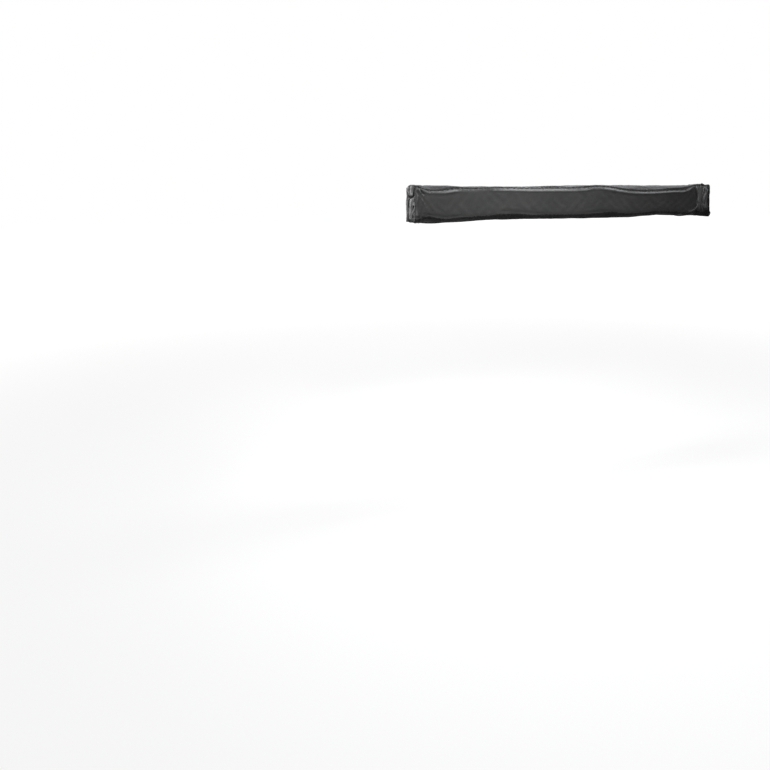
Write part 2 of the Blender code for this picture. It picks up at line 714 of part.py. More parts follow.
# The bottom panel turns up at the rail. Its beaded edge lies in the rail's lower groove.
def bag_bottom(origin):
    blade = KEDER_BLADE / 2
    edge_z = -RAIL_TOP_Z - 2 * GAP
    outer = [(KEDER_Y + blade, edge_z), (KEDER_Y + blade, BAG_LOW_Z), *bottom_run(0)]
    inner = [
        (KEDER_Y - blade, edge_z),
        (KEDER_Y - blade, BAG_LOW_Z + FABRIC),
        *bottom_run(FABRIC),
    ]
    panel = shifted([*outer, *reversed(inner)], origin)
    bead = shifted(
        [(KEDER_Y + blade, edge_z - FABRIC), (KEDER_Y - blade, edge_z - FABRIC), *keder_bead(-KEDER_Z, -1)],
        origin,
    )
    return combined(
        "bag_bottom",
        prism_x("panel", panel, -PANEL_HALF, PANEL_HALF),
        [("UNION", prism_x("bead", bead, -RAIL_HALF, RAIL_HALF))],
    )


# The round bead of a fabric edge, from one side of its blade to the other, seen along X.
def keder_bead(middle_z, blade_up):
    half = math.asin(KEDER_BLADE / 2 / KEDER_BEAD)
    turns = [half + (2 * math.pi - 2 * half) * i / BEAD_STEPS for i in range(BEAD_STEPS + 1)]
    return [
        (KEDER_Y - KEDER_BEAD * math.sin(a), middle_z + blade_up * KEDER_BEAD * math.cos(a)) for a in turns
    ]


def shifted(outline, origin):
    return [(y - origin[0], z - origin[1]) for y, z in outline]


def bag_front(origin):
    outline = [
        (BAG_FRONT_Y, BOTTOM_SEAM_Z + GAP),
        (BAG_FRONT_Y + FABRIC, BOTTOM_SEAM_Z + GAP),
        (BAG_FRONT_Y + FABRIC, TOP_SEAM_Z - GAP),
        (BAG_FRONT_Y, TOP_SEAM_Z - GAP),
    ]
    return prism_x("bag_front", shifted(outline, origin), -PANEL_HALF, PANEL_HALF)


def top_run(inside):
    centre = (BAG_FRONT_Y + TOP_CORNER, BAG_TOP_Z - TOP_CORNER)
    return [(BAG_FRONT_Y + inside, TOP_SEAM_Z), *arc(centre, TOP_CORNER - inside, 180, 90)]


def bag_top(origin):
    back = KEDER_Y - KEDER_BLADE / 2 - GAP
    outer = [*top_run(0), (back, BAG_TOP_Z)]
    inner = [*top_run(FABRIC), (back, BAG_TOP_Z - FABRIC)]
    outline = shifted([*outer, *reversed(inner)], origin)
    return prism_x("bag_top", outline, -PANEL_HALF, PANEL_HALF)


def zip_strip():
    blade = KEDER_BLADE / 2
    bead = keder_bead(KEDER_Z, 1)
    outline = [(KEDER_Y + blade, BAG_TOP_Z), (KEDER_Y - blade, BAG_TOP_Z), *bead]
    return prism_x("zip_strip", outline, -RAIL_HALF, RAIL_HALF)


# An end panel about the vertical fold where it meets the front panel.
def bag_end(side):
    corner_low = (BAG_FRONT_Y + BOTTOM_CORNER, BAG_LOW_Z + BOTTOM_CORNER)
    corner_high = (BAG_FRONT_Y + TOP_CORNER, BAG_TOP_Z - TOP_CORNER)
    section = [
        (-FABRIC, BAG_LOW_Z),
        *arc(corner_low, BOTTOM_CORNER, 270, 180),
        *arc(corner_high, TOP_CORNER, 180, 90),
        (-FABRIC, BAG_TOP_Z),
    ]
    fold_y = BAG_FRONT_Y + END_HINGE_INSET
    outline = [(y - fold_y, z) for y, z in section]
    near = side * (BAG_HALF - FABRIC) - side * END_FOLD_X
    far = side * BAG_HALF - side * END_FOLD_X
    return prism_x("bag_end", outline, min(near, far), max(near, far))


# The zip's slider on the seam, with its pull tab lying towards the rear.
def zip_slider():
    low = GAP
    high = low + SLIDER_HEIGHT
    body = box(
        "zip_slider",
        (-SLIDER_LENGTH / 2, -SLIDER_WIDTH / 2, low),
        (SLIDER_LENGTH / 2, SLIDER_WIDTH / 2, high),
    )
    tab_z = low + SLIDER_HEIGHT / 2 - TAB_THICKNESS / 2
    tab = box(
        "tab",
        (SLIDER_LENGTH / 4, -TAB_WIDTH / 2, tab_z),
        (SLIDER_LENGTH / 2 + TAB_LENGTH, TAB_WIDTH / 2, tab_z + TAB_THICKNESS),
    )
    return combined("zip_slider", body, [("UNION", tab)])


def build_mount(look):
    mount = add_empty("mount", (0, 0, 0))
    add_piece("backing_rail", backing_rail(), look["rail_aluminium"], mount)
    add_piece("front_end_cap", end_cap("front_end_cap", -1), look["black_plastic"], mount)
    add_piece("rear_end_cap", end_cap("rear_end_cap", 1), look["black_plastic"], mount)
    bracket_mesh = bracket()
    bolt_mesh = bracket_bolt()
    for name, x in (("front", FRONT_BRACKET_X), ("rear", REAR_BRACKET_X)):
        add_piece(f"{name}_bracket", bracket_mesh, look["bracket_black"], mount, (x, 0, 0))
        add_piece(f"{name}_bracket_bolt", bolt_mesh, look["bright_steel"], mount, (x, 0, T_SLOT_Z))
    hub_place = (PIVOT_X, PIVOT_Y, 0)
    add_piece("hub_bracket", hub_bracket(), look["cast_black"], mount, hub_place)
    add_piece("zip_strip", zip_strip(), look["bag_cloth"], mount)
    return mount


def build_arms(look, mount):
    tube = arm_tube()
    tip = arm_tip()
    pin = hinge_pin()
    middle_knuckle = knuckle(True)
    last_knuckle = knuckle(False)
    pivot_pin = leg_pin()
    canopy = canopy_panel()
    leg_meshes = [leg_outer(), leg_collar(), leg_knob(), leg_inner(), leg_foot()]
    parent = mount
    place = (PIVOT_X, PIVOT_Y, 0)
    for number in range(1, ARM_COUNT + 1):
        arm = add_empty(f"arm_{number}_joint", place, parent)
        add_piece(f"arm_{number}_pin", pin, look["bright_steel"], parent, place)
        knuckle_mesh = last_knuckle if number == ARM_COUNT else middle_knuckle
        add_piece(f"arm_{number}_knuckle", knuckle_mesh, look["cast_black"], arm)
        add_piece(f"arm_{number}_tube", tube, look["tube_aluminium"], arm)
        add_piece(f"arm_{number}_tip", tip, look["cast_black"], arm)
        add_piece(f"canopy_panel_{number}", canopy, look["canopy_cloth"], arm)
        pivot = (LEG_PIVOT_X, -ARM_PITCH / 2, LEG_PIVOT_Z)
        add_piece(f"leg_{number}_pin", pivot_pin, look["bright_steel"], arm, pivot)
        build_leg(look, number, arm, pivot, leg_meshes)
        parent = arm
        place = (0, -ARM_PITCH, 0)


def build_leg(look, number, arm, pivot, meshes):
    outer, collar, knob, inner, foot = meshes
    leg = add_empty(f"leg_{number}_joint", pivot, arm)
    add_piece(f"leg_{number}_outer", outer, look["tube_aluminium"], leg)
    add_piece(f"leg_{number}_collar", collar, look["black_plastic"], leg)
    add_piece(f"leg_{number}_knob", knob, look["black_plastic"], leg, (COLLAR_MIDDLE, 0, 0))
    slide = add_empty(f"leg_{number}_slide", (0, 0, 0), leg)
    add_piece(f"leg_{number}_inner", inner, look["tube_aluminium"], slide)
    add_piece(f"leg_{number}_foot", foot, look["foot_rubber"], slide)


def build_bag(look, mount):
    cloth = look["bag_cloth"]
    rail_edge = (KEDER_Y, -KEDER_Z)
    lower_seam = (BAG_FRONT_Y + FABRIC / 2, BOTTOM_SEAM_Z)
    upper_seam = (BAG_FRONT_Y + FABRIC / 2, TOP_SEAM_Z)
    bottom = add_empty("bag_bottom_joint", (0, *rail_edge), mount)
    front_place = (0, lower_seam[0] - rail_edge[0], lower_seam[1] - rail_edge[1])
    front = add_empty("bag_front_joint", front_place, bottom)
    top_place = (0, upper_seam[0] - lower_seam[0], upper_seam[1] - lower_seam[1])
    top = add_empty("bag_top_joint", top_place, front)
    add_piece("bag_bottom", bag_bottom(rail_edge), cloth, bottom)
    add_piece("bag_front", bag_front(lower_seam), cloth, front)
    add_piece("bag_top", bag_top(upper_seam), cloth, top)
    fold_y = BAG_FRONT_Y + END_HINGE_INSET - lower_seam[0]
    for name, side in (("front", -1), ("rear", 1)):
        end = add_empty(f"bag_{name}_end_joint", (side * END_FOLD_X, fold_y, -lower_seam[1]), front)
        add_piece(f"bag_{name}_end", bag_end(side), cloth, end)
    slider_place = (BAG_HALF - SLIDER_FROM_END, KEDER_Y, BAG_TOP_Z)
    slider = add_empty("zip_slider_joint", slider_place, mount)
    add_piece("zip_slider", zip_slider(), look["black_plastic"], slider)


def main():
    for old in list(bpy.data.objects):
        bpy.data.objects.remove(old)
    look = looks()
    mount = build_mount(look)
    build_arms(look, mount)
    build_bag(look, mount)


main()
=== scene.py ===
import math

import bmesh
import bpy
import numpy as np
from mathutils import Matrix, Vector


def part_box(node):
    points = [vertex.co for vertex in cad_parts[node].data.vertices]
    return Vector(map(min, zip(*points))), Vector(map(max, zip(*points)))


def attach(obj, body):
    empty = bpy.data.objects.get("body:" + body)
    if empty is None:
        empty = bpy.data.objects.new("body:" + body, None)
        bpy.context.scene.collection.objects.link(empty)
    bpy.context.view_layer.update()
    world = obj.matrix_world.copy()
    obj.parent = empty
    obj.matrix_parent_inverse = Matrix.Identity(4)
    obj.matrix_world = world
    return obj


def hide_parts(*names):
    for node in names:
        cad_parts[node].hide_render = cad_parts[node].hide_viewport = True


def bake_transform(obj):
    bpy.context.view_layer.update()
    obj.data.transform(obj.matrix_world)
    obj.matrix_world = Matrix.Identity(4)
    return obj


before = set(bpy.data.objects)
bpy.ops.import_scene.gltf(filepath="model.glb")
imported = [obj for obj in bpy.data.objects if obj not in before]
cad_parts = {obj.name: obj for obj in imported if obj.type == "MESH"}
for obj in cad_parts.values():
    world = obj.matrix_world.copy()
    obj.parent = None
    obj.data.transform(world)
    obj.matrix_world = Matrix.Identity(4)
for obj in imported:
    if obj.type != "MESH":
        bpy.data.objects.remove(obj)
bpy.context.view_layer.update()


def addObject(name, data):
    holder = bpy.data.objects.new(name, data)
    bpy.context.scene.collection.objects.link(holder)
    return holder


# Camera, at the photograph's viewing angle
camera = {
    "place": (-2.513, -3.792, 0.130),
    "yaw": 20.68,  # degrees from straight across the vehicle, towards its rear
    "pitch": 15.35,  # degrees down
    "roll": -0.28,
    "lens": 34.97,
    "sensor": 36.0,
    "reach": 200,
}


def addCamera():
    lens = bpy.data.cameras.new("camera")
    lens.sensor_width = camera["sensor"]
    lens.lens = camera["lens"]
    lens.clip_end = camera["reach"]
    turn = Matrix()
    for angle, axis in ((-camera["yaw"], "Z"), (90 - camera["pitch"], "X"), (camera["roll"], "Z")):
        turn = turn @ Matrix.Rotation(math.radians(angle), 4, axis)
    holder = addObject("camera", lens)
    holder.matrix_world = Matrix.Translation(camera["place"]) @ turn
    bpy.context.scene.camera = holder


addCamera()
print("camera placed")


# Shader maths: a Field is one socket's value, and Nodes is the tree that it belongs to
def operator(kind, swapped=False):
    def work(self, other):
        pair = (other, self) if swapped else (self, other)
        return self.nodes.maths(kind, *pair)

    return work


class Field:
    def __init__(self, nodes, socket):
        self.nodes = nodes
        self.socket = socket

    __add__ = operator("ADD")
    __sub__ = operator("SUBTRACT")
    __rsub__ = operator("SUBTRACT", True)
    __mul__ = operator("MULTIPLY")

    def between(self, low, high):
        return self.nodes.add("ShaderNodeMapRange", {"interpolation_type": "SMOOTHSTEP"},
                              {"Value": self, "From Min": low, "From Max": high})


class Nodes:
    def __init__(self, tree):
        self.tree = tree

    def plug(self, socket, value):
        if isinstance(value, Field):
            self.tree.links.new(value.socket, socket)
        elif socket.type == "RGBA":
            socket.default_value = (*value, 1.0)
        else:
            socket.default_value = value

    # One node of any type: its settings first, then the values or links of its sockets
    def add(self, kind, settings=None, values=None, output=0):
        node = self.tree.nodes.new(kind)
        for key, value in (settings or {}).items():
            setattr(node, key, value)
        for key, value in (values or {}).items():
            self.plug(node.inputs[key], value)
        return Field(self, node.outputs[output])

    def maths(self, operation, first, second=0.0):
        return self.add("ShaderNodeMath", {"operation": operation}, {0: first, 1: second})

    def scaled(self, place, scale):
        return self.add("ShaderNodeMapping", values={"Vector": place, "Scale": scale})

    def objectPlace(self, scale=(1, 1, 1)):
        return self.scaled(self.add("ShaderNodeTexCoord", output=3), scale)

    def clothPlace(self, scale=(1, 1, 1)):
        return self.scaled(self.add("ShaderNodeUVMap", {"uv_map": "clothMap"}), scale)

    def attribute(self, name):
        return self.add("ShaderNodeAttribute", {"attribute_name": name}, output=2)

    def noise(self, place, scale, detail=2.0, roughness=0.5):
        return self.add("ShaderNodeTexNoise", values={"Vector": place, "Scale": scale, "Detail": detail,
                                                      "Roughness": roughness})

    def blend(self, amount, first, second, mode="MIX"):
        return self.add("ShaderNodeMix", {"data_type": "RGBA", "blend_type": mode},
                        {0: amount, 6: first, 7: second}, 2)

    # Whether something looks along the ray, rather than being lit by it, and whether gloss does
    def raysSeen(self):
        seen = self.add("ShaderNodeLightPath", output="Is Camera Ray")
        rays = seen.socket.node.outputs
        gloss = Field(self, rays["Is Glossy Ray"])
        through = Field(self, rays["Is Transmission Ray"])
        return self.maths("MAXIMUM", self.maths("MAXIMUM", seen, gloss), through), gloss


# One material, with its fixed values by socket name
class Finish(Nodes):
    def __init__(self, name, **fixed):
        self.material = bpy.data.materials.new(name)
        self.material.use_nodes = True
        super().__init__(self.material.node_tree)
        self.shader = self.tree.nodes["Principled BSDF"]
        for socket, value in fixed.items():
            self.set(socket.replace("_", " "), value)

    def set(self, socket, value):
        self.plug(self.shader.inputs[socket], value)

    def bump(self, height, strength, distance, **under):
        return self.add("ShaderNodeBump", values={"Height": height, "Strength": strength,
                                                  "Distance": distance, **under})


def grey(value, warm=0.0):
    return (value * (1 + warm), value, value * (1 - warm))


# Woven cloth: warp and weft from its own map in metres, painted highlight and shade from a per-point value
def wovenCloth(name, look):
    finish = Finish(name, Base_Color=look["colour"], Roughness=look["roughness"],
                    Specular_IOR_Level=look["specular"], Sheen_Weight=look["sheen"], Sheen_Roughness=0.4)
    turns = 2 * math.pi / look["pitch"]
    across = finish.add("ShaderNodeSeparateXYZ", values={"Vector": finish.clothPlace()})
    along = Field(finish, across.socket.node.outputs[1])
    threads = finish.maths("SINE", across * turns) * finish.maths("SINE", along * turns)
    ridge = finish.attribute("ridge")
    cloud = finish.noise(finish.clothPlace(), look["cloudScale"], 3.0, 0.6)
    streak = finish.noise(finish.clothPlace((1.0, 9.0, 1.0)), look["streakScale"])
    tones = (grey(1 - look["mottle"], -0.01), grey(1 + look["mottle"], 0.01))
    colour = finish.blend(1.0, look["colour"], finish.blend(cloud.between(0.3, 0.7), *tones), "MULTIPLY")
    # Paler on ridges: painted highlight, with some wear
    paintedLightAndWear = ridge.between(0.25, 1.0) * look["wear"]
    colour = finish.blend(paintedLightAndWear, colour, look["highlightAndWearColour"])
    # Darker in hollows, seams and underneath: painted shade
    dirt = (0 - ridge).between(0.2, 1.0) * look["dirt"]
    colour = finish.blend(dirt, colour, look["paintedShadeColour"])
    finish.set("Base Color", finish.blend((threads + 1) * look["threadShade"], colour, grey(0)))
    finish.set("Roughness", (streak - 0.5) * 0.16 + look["roughness"] + paintedLightAndWear * 0.1)
    grain = finish.bump(finish.noise(finish.clothPlace(), look["grainScale"]), look["grainStrength"], 0.0006)
    finish.set("Normal", finish.bump(threads, look["threadStrength"], look["pitch"] * 0.2, Normal=grain))
    return finish.material


def brushedMetal(name, look):
    finish = Finish(name, Base_Color=look["colour"], Roughness=look["roughness"], Metallic=1.0)
    lines = finish.noise(finish.objectPlace(look["stretch"]), look["lineScale"], 3.0, 0.7)
    patches = finish.noise(finish.objectPlace(), 9.0)
    tone = finish.blend(lines.between(0.3, 0.7), grey(1 - look["tone"]), grey(1 + look["tone"] * 0.4))
    finish.set("Base Color", finish.blend(1.0, look["colour"], tone, "MULTIPLY"))
    finish.set("Roughness", (patches - 0.5) * 0.12 + (lines - 0.5) * 0.14 + look["roughness"])
    finish.set("Normal", finish.bump(lines, look["lineStrength"], 0.0004))
    return finish.material


def coatedMetal(name, look):
    finish = Finish(name, Base_Color=look["colour"], Roughness=look["roughness"],
                    Specular_IOR_Level=look["specular"])
    peel = finish.noise(finish.objectPlace(), look["peelScale"])
    cloud = finish.noise(finish.objectPlace(), 14.0, 3.0)
    scuff = finish.noise(finish.objectPlace(), 160.0, 4.0, 0.7)
    bare = (finish.attribute("edge") * (scuff * 1.6)).between(0.55, 0.95) * look["wear"]
    colour = finish.blend(cloud.between(0.35, 0.7), look["colour"], look["dusty"])
    finish.set("Base Color", finish.blend(bare, colour, look["edgeColour"]))
    finish.set("Roughness", (cloud - 0.5) * 0.15 + look["roughness"] + bare * 0.08)
    finish.set("Normal", finish.bump(peel, look["peelStrength"], 0.0005))
    return finish.material


# What a cloth has where its own look says nothing else
plainCloth = dict(
    specular=0.30, sheen=0.0, pitch=0.0011, threadShade=0.16, grainScale=420.0, grainStrength=0.20,
    threadStrength=0.55,
)
# In each cloth look the pale ridge colour is painted highlight and wear, the dark one painted shade
clothLooks = {
    "bag": dict(
        colour=(0.042, 0.042, 0.042), roughness=0.50, specular=0.06, cloudScale=7.0, streakScale=26.0,
        mottle=0.07, wear=0.68, highlightAndWearColour=(0.155, 0.155, 0.156), dirt=1.0,
        paintedShadeColour=(0.011, 0.011, 0.0112),
    ),
    # The front end: the bag's cloth painted paler, as painted light for the light falling on that end
    "end": dict(
        colour=(0.125, 0.125, 0.126), roughness=0.46, specular=0.05, cloudScale=14.0, streakScale=40.0,
        mottle=0.16, wear=0.85, highlightAndWearColour=(0.320, 0.320, 0.322), dirt=0.9,
        paintedShadeColour=(0.018, 0.018, 0.0183),
    ),
    "thread": dict(
        colour=(0.075, 0.075, 0.076), roughness=0.6, pitch=0.0004, cloudScale=60.0, streakScale=90.0,
        mottle=0.15, wear=0.0, highlightAndWearColour=(0.1, 0.1, 0.1), dirt=0.0, paintedShadeColour=(0.02, 0.02, 0.02),
        threadShade=0.25, grainScale=900.0, threadStrength=0.50,
    ),
    "lining": dict(
        colour=(0.16, 0.162, 0.166), roughness=0.42, specular=0.40, cloudScale=10.0, streakScale=30.0,
        mottle=0.08, wear=0.3, highlightAndWearColour=(0.22, 0.22, 0.225), dirt=0.4, paintedShadeColour=(0.09, 0.09, 0.092),
        threadShade=0.05, grainScale=300.0, grainStrength=0.10, threadStrength=0.10,
    ),
    "canopy": dict(
        colour=(0.115, 0.119, 0.124), roughness=0.58, sheen=0.08, pitch=0.0050, cloudScale=6.0,
        streakScale=18.0, mottle=0.07, wear=0.35, highlightAndWearColour=(0.17, 0.175, 0.18), dirt=0.35,
        paintedShadeColour=(0.07, 0.072, 0.075), threadShade=0.05, grainScale=600.0, grainStrength=0.08,
        threadStrength=0.10,
    ),
    "tape": dict(
        colour=(0.018, 0.018, 0.019), roughness=0.75, specular=0.20, sheen=0.02, pitch=0.0018,
        cloudScale=20.0, streakScale=60.0, mottle=0.10, wear=0.3, highlightAndWearColour=(0.04, 0.04, 0.041), dirt=0.4,
        paintedShadeColour=(0.01, 0.01, 0.01), threadShade=0.25, grainScale=500.0, grainStrength=0.10,
        threadStrength=0.45,
    ),
}
metalLooks = {
    "railAluminium": dict(
        colour=(0.56, 0.57, 0.58), roughness=0.36, stretch=(0.6, 90.0, 90.0), lineScale=4.0, tone=0.10,
        lineStrength=0.10,
    ),
    "tubeAluminium": dict(
        colour=(0.60, 0.61, 0.62), roughness=0.30, stretch=(0.8, 70.0, 70.0), lineScale=5.0, tone=0.08,
        lineStrength=0.07,
    ),
    "zincSteel": dict(
        colour=(0.62, 0.61, 0.58), roughness=0.32, stretch=(20.0, 20.0, 20.0), lineScale=6.0, tone=0.14,
        lineStrength=0.05,
    ),
}
coatLooks = {
    "castBlack": dict(
        colour=(0.026, 0.027, 0.029), roughness=0.48, specular=0.45, peelScale=900.0, peelStrength=0.22,
        dusty=(0.040, 0.041, 0.043), wear=0.7, edgeColour=(0.20, 0.20, 0.205),
    ),
    "bracketBlack": dict(
        colour=(0.020, 0.021, 0.022), roughness=0.52, specular=0.45, peelScale=700.0, peelStrength=0.30,
        dusty=(0.034, 0.034, 0.036), wear=0.6, edgeColour=(0.16, 0.16, 0.165),
    ),
    "mouldedPlastic": dict(
        colour=(0.019, 0.019, 0.021), roughness=0.44, specular=0.42, peelScale=1500.0, peelStrength=0.25,
        dusty=(0.030, 0.030, 0.032), wear=0.25, edgeColour=(0.07, 0.07, 0.072),
    ),
    "footRubber": dict(
        colour=(0.017, 0.017, 0.017), roughness=0.78, specular=0.30, peelScale=500.0, peelStrength=0.35,
        dusty=(0.050, 0.048, 0.045), wear=0.3, edgeColour=(0.06, 0.058, 0.055),
    ),
}
finishes = {}
for name, look in clothLooks.items():
    finishes[name] = wovenCloth(name + "Cloth", {**plainCloth, **look})
for makeFinish, looks in ((brushedMetal, metalLooks), (coatedMetal, coatLooks)):
    for name, look in looks.items():
        finishes[name] = makeFinish(name, look)
print("materials made")


# Mesh helpers
def onlyActive(piece):
    bpy.ops.object.select_all(action="DESELECT")
    piece.select_set(True)
    bpy.context.view_layer.objects.active = piece


# Edit mode with all of the piece selected
def openAll(piece):
    onlyActive(piece)
    bpy.ops.object.mode_set(mode="EDIT")
    bpy.ops.mesh.select_all(action="SELECT")


def closeEdit():
    bpy.ops.object.mode_set(mode="OBJECT")


def modify(piece, kind, **settings):
    modifier = piece.modifiers.new(kind.lower(), kind)
    for key, value in settings.items():
        setattr(modifier, key, value)
    onlyActive(piece)
    bpy.ops.object.modifier_apply(modifier=modifier.name)


def settle(piece):
    onlyActive(piece)
    bpy.ops.object.transform_apply(location=True, rotation=True, scale=True)


def smooth(piece, degrees=None):
    onlyActive(piece)
    if degrees is None:
        bpy.ops.object.shade_smooth()
    else:
        bpy.ops.object.shade_smooth_by_angle(angle=math.radians(degrees))


def paint(piece, *names):
    piece.data.materials.clear()
    for name in names:
        piece.data.materials.append(finishes[name])


# A piece's material, the body it rides on and the CAD node whose place it takes
def dress(piece, look, body, node=None):
    paint(piece, look)
    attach(piece, body)
    if node:
        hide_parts(node)


def selectFaces(piece, chosen):
    mesh = bmesh.from_edit_mesh(piece.data)
    for face in mesh.faces:
        face.select_set(chosen(face.calc_center_median(), face.normal))
    mesh.select_flush_mode()
    bmesh.update_edit_mesh(piece.data)


# How sharp the surface turns at each point, kept for worn edges
def markEdges(piece):
    mesh = bmesh.new()
    mesh.from_mesh(piece.data)
    turns = []
    for point in mesh.verts:
        angles = [edge.calc_face_angle(0.0) for edge in point.link_edges]
        turns.append(min(1.0, max(angles, default=0.0) / math.radians(50)))
    mesh.free()
    layer = piece.data.attributes.new("edge", "FLOAT", "POINT")
    layer.data.foreach_set("value", turns)


def finishHard(piece, look, body, node, bevel=0.0):
    if bevel:
        modify(piece, "BEVEL", width=bevel, segments=2, limit_method="ANGLE", angle_limit=math.radians(32))
    smooth(piece, 34)
    markEdges(piece)
    dress(piece, look, body, node)


# A CAD node's shape, merged and with its edges rounded, in the node's place
def dressedNode(node, look, body, bevel):
    words = node.split("_")
    name = words[0] + "".join(word.capitalize() for word in words[1:])
    piece = addObject(name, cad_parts[node].data.copy())
    openAll(piece)
    bpy.ops.mesh.remove_doubles(threshold=0.00002)
    bpy.ops.mesh.dissolve_limited(angle_limit=math.radians(1.5))
    closeEdit()
    finishHard(piece, look, body, node, bevel)


# Profile of (radius, height) pairs, spun about Z by hand
def spunPiece(name, profile, steps):
    bpy.ops.mesh.primitive_plane_add(size=0.01, location=(0, 0, 0))
    piece = bpy.context.object
    piece.name = name
    openAll(piece)
    mesh = bmesh.from_edit_mesh(piece.data)
    bmesh.ops.delete(mesh, geom=mesh.verts[:], context="VERTS")
    line = [mesh.verts.new((radius, 0, height)) for radius, height in profile]
    for first, second in zip(line, line[1:]):
        mesh.edges.new((first, second))
    bmesh.update_edit_mesh(piece.data)
    bpy.ops.mesh.select_all(action="SELECT")
    bpy.ops.mesh.spin(steps=steps, angle=2 * math.pi, center=(0, 0, 0), axis=(0, 0, 1))
    bpy.ops.mesh.select_all(action="SELECT")
    bpy.ops.mesh.remove_doubles(threshold=0.00001)
    bpy.ops.mesh.normals_make_consistent(inside=False)
    closeEdit()
    return piece


def joined(pieces, name):
    onlyActive(pieces[0])
    for piece in pieces:
        piece.select_set(True)
    bpy.ops.object.join()
    pieces[0].name = name
    return pieces[0]


def placesOf(mesh):
    places = np.zeros(len(mesh.vertices) * 3)
    mesh.vertices.foreach_get("co", places)
    return places.reshape(-1, 3)


# The mesh's only map, from a value for each of its points
def setMap(mesh, values):
    corners = np.zeros(len(mesh.loops), int)
    mesh.loops.foreach_get("vertex_index", corners)
    layer = mesh.uv_layers[0] if mesh.uv_layers else mesh.uv_layers.new(name="clothMap")
    layer.name = "clothMap"
    layer.data.foreach_set("uv", values[corners].ravel())


# A map in metres from each point's own place
def mapByPlace(mesh):
    x, y, z = placesOf(mesh).T
    setMap(mesh, np.column_stack([x + y, z]))


# Smooth line through (place, value) pairs
def follow(points, places):
    known, values = np.array(points, float).T
    slopes = np.gradient(values, known)
    places = np.clip(np.asarray(places, float), known[0], known[-1])
    index = np.clip(np.searchsorted(known, places) - 1, 0, len(known) - 2)
    width = known[index + 1] - known[index]
    t = (places - known[index]) / width
    low, high = values[index], values[index + 1]
    first, second = slopes[index] * width, slopes[index + 1] * width
    return (low * (2 * t**3 - 3 * t**2 + 1) + first * (t**3 - 2 * t**2 + t)
            + high * (3 * t**2 - 2 * t**3) + second * (t**3 - t**2))


def ease(low, high, value):
    t = np.clip((value - low) / (high - low), 0, 1)
    return t * t * (3 - 2 * t)


def hump(value, middle, width):
    return np.exp(-((value - middle) / width) ** 2)


# 1 between two rises, eased at both ends
def window(value, low, lowEnd, highStart, high):
    return ease(low, lowEnd, value) * (1 - ease(highStart, high, value))


# Band-limited waves of unit strength, the same on each run
def waves(first, second, firstLength, secondLength, seed, count=16):
    draw = np.random.default_rng(seed)
    total = 0
    for _ in range(count):
        a = 2 * math.pi / firstLength * draw.uniform(0.55, 1.6) * draw.choice((-1, 1))
        b = 2 * math.pi / secondLength * draw.uniform(0.45, 1.5)
        total = total + np.sin(a * first + b * second + draw.uniform(0, 2 * math.pi))
    return total / math.sqrt(count / 2)


# Heights eased off below a limit
def capped(heights, limit, soft=0.0012):
    return limit - soft * np.logaddexp(0, (limit - heights) / soft)


def normalsOf(points):
    along = np.gradient(points, axis=0)
    across = np.gradient(points, axis=1)
    normals = np.cross(across, along)
    return normals / np.maximum(np.linalg.norm(normals, axis=2, keepdims=True), 1e-9)


# Twice as many points each way, on smooth curves through the old ones
def finer(points, axis):
    points = np.moveaxis(points, axis, 0)
    padded = np.concatenate([2 * points[:1] - points[1:2], points, 2 * points[-1:] - points[-2:-1]])
    middle = (9 * (padded[1:-2] + padded[2:-1]) - padded[:-3] - padded[3:]) / 16
    result = np.empty((2 * len(points) - 1, *points.shape[1:]))
    result[0::2] = points
    result[1::2] = middle
    return np.moveaxis(result, 0, axis)


def blurred(points, rounds):
    for _ in range(rounds):
        for axis in (0, 1):
            points = np.moveaxis(points, axis, 0)
            inner = (points[:-2] + 2 * points[1:-1] + points[2:]) / 4
            points = np.concatenate([points[:1], inner, points[-1:]])
            points = np.moveaxis(points, 0, axis)
    return points


# A cloth from a grid of points: its own map is in metres, and a value paints highlight and wear above 0,
# shade below
def clothPiece(name, points, mapAt, ridge):
    rows, columns = points.shape[:2]
    bpy.ops.mesh.primitive_grid_add(x_subdivisions=columns - 1, y_subdivisions=rows - 1, size=1)
    piece = bpy.context.object
    piece.name = name
    mesh = piece.data
    flat = placesOf(mesh)
    column = np.rint((flat[:, 0] + 0.5) * (columns - 1)).astype(int)
    row = np.rint((flat[:, 1] + 0.5) * (rows - 1)).astype(int)
    mesh.vertices.foreach_set("co", points[row, column].ravel())
    setMap(mesh, mapAt[row, column])
    heights = mesh.attributes.new("ridge", "FLOAT", "POINT")
    heights.data.foreach_set("value", ridge[row, column].astype(np.float32))
    mesh.update()
    return piece


def ridgeOf(points, rounds, depth):
    high = np.sum((points - blurred(points, rounds)) * normalsOf(points), axis=2)
    return np.clip(high / depth, -1, 1)


# The cloth's thickness, with its inner face in the piece's next material
def thicken(piece):
    modify(piece, "SOLIDIFY", thickness=bag["cloth"], offset=-1, use_even_offset=False, material_offset=1)
    smooth(piece)


# A round cord sewn along a line of points
def sewnCord(name, line, radius):
    curve = bpy.data.curves.new(name, "CURVE")
    curve.dimensions = "3D"
    curve.bevel_depth = radius
    curve.bevel_resolution = 2
    curve.use_fill_caps = True
    spline = curve.splines.new("POLY")
    spline.points.add(len(line) - 1)
    spline.points.foreach_set("co", np.column_stack([line, np.ones(len(line))]).ravel())
    onlyActive(addObject(name, curve))
    bpy.ops.object.convert(target="MESH")
    cord = bpy.context.object
    cord.name = name
    smooth(cord)
    mapByPlace(cord.data)
    return cord


# Numbers in mm, as metres
def metres(*numbers):
    return [round(number / 1000, 6) for number in numbers]


# (place, value) pairs from one row of numbers in mm
def pairs(*numbers):
    return list(zip(metres(*numbers[::2]), metres(*numbers[1::2])))


# One fold from numbers in mm: how wide it is, how far it stands out, then the points of its line
def fold(wide, out, *line):
    wide, out = metres(wide, out)
    return {"line": pairs(*line), "wide": wide, "out": out}


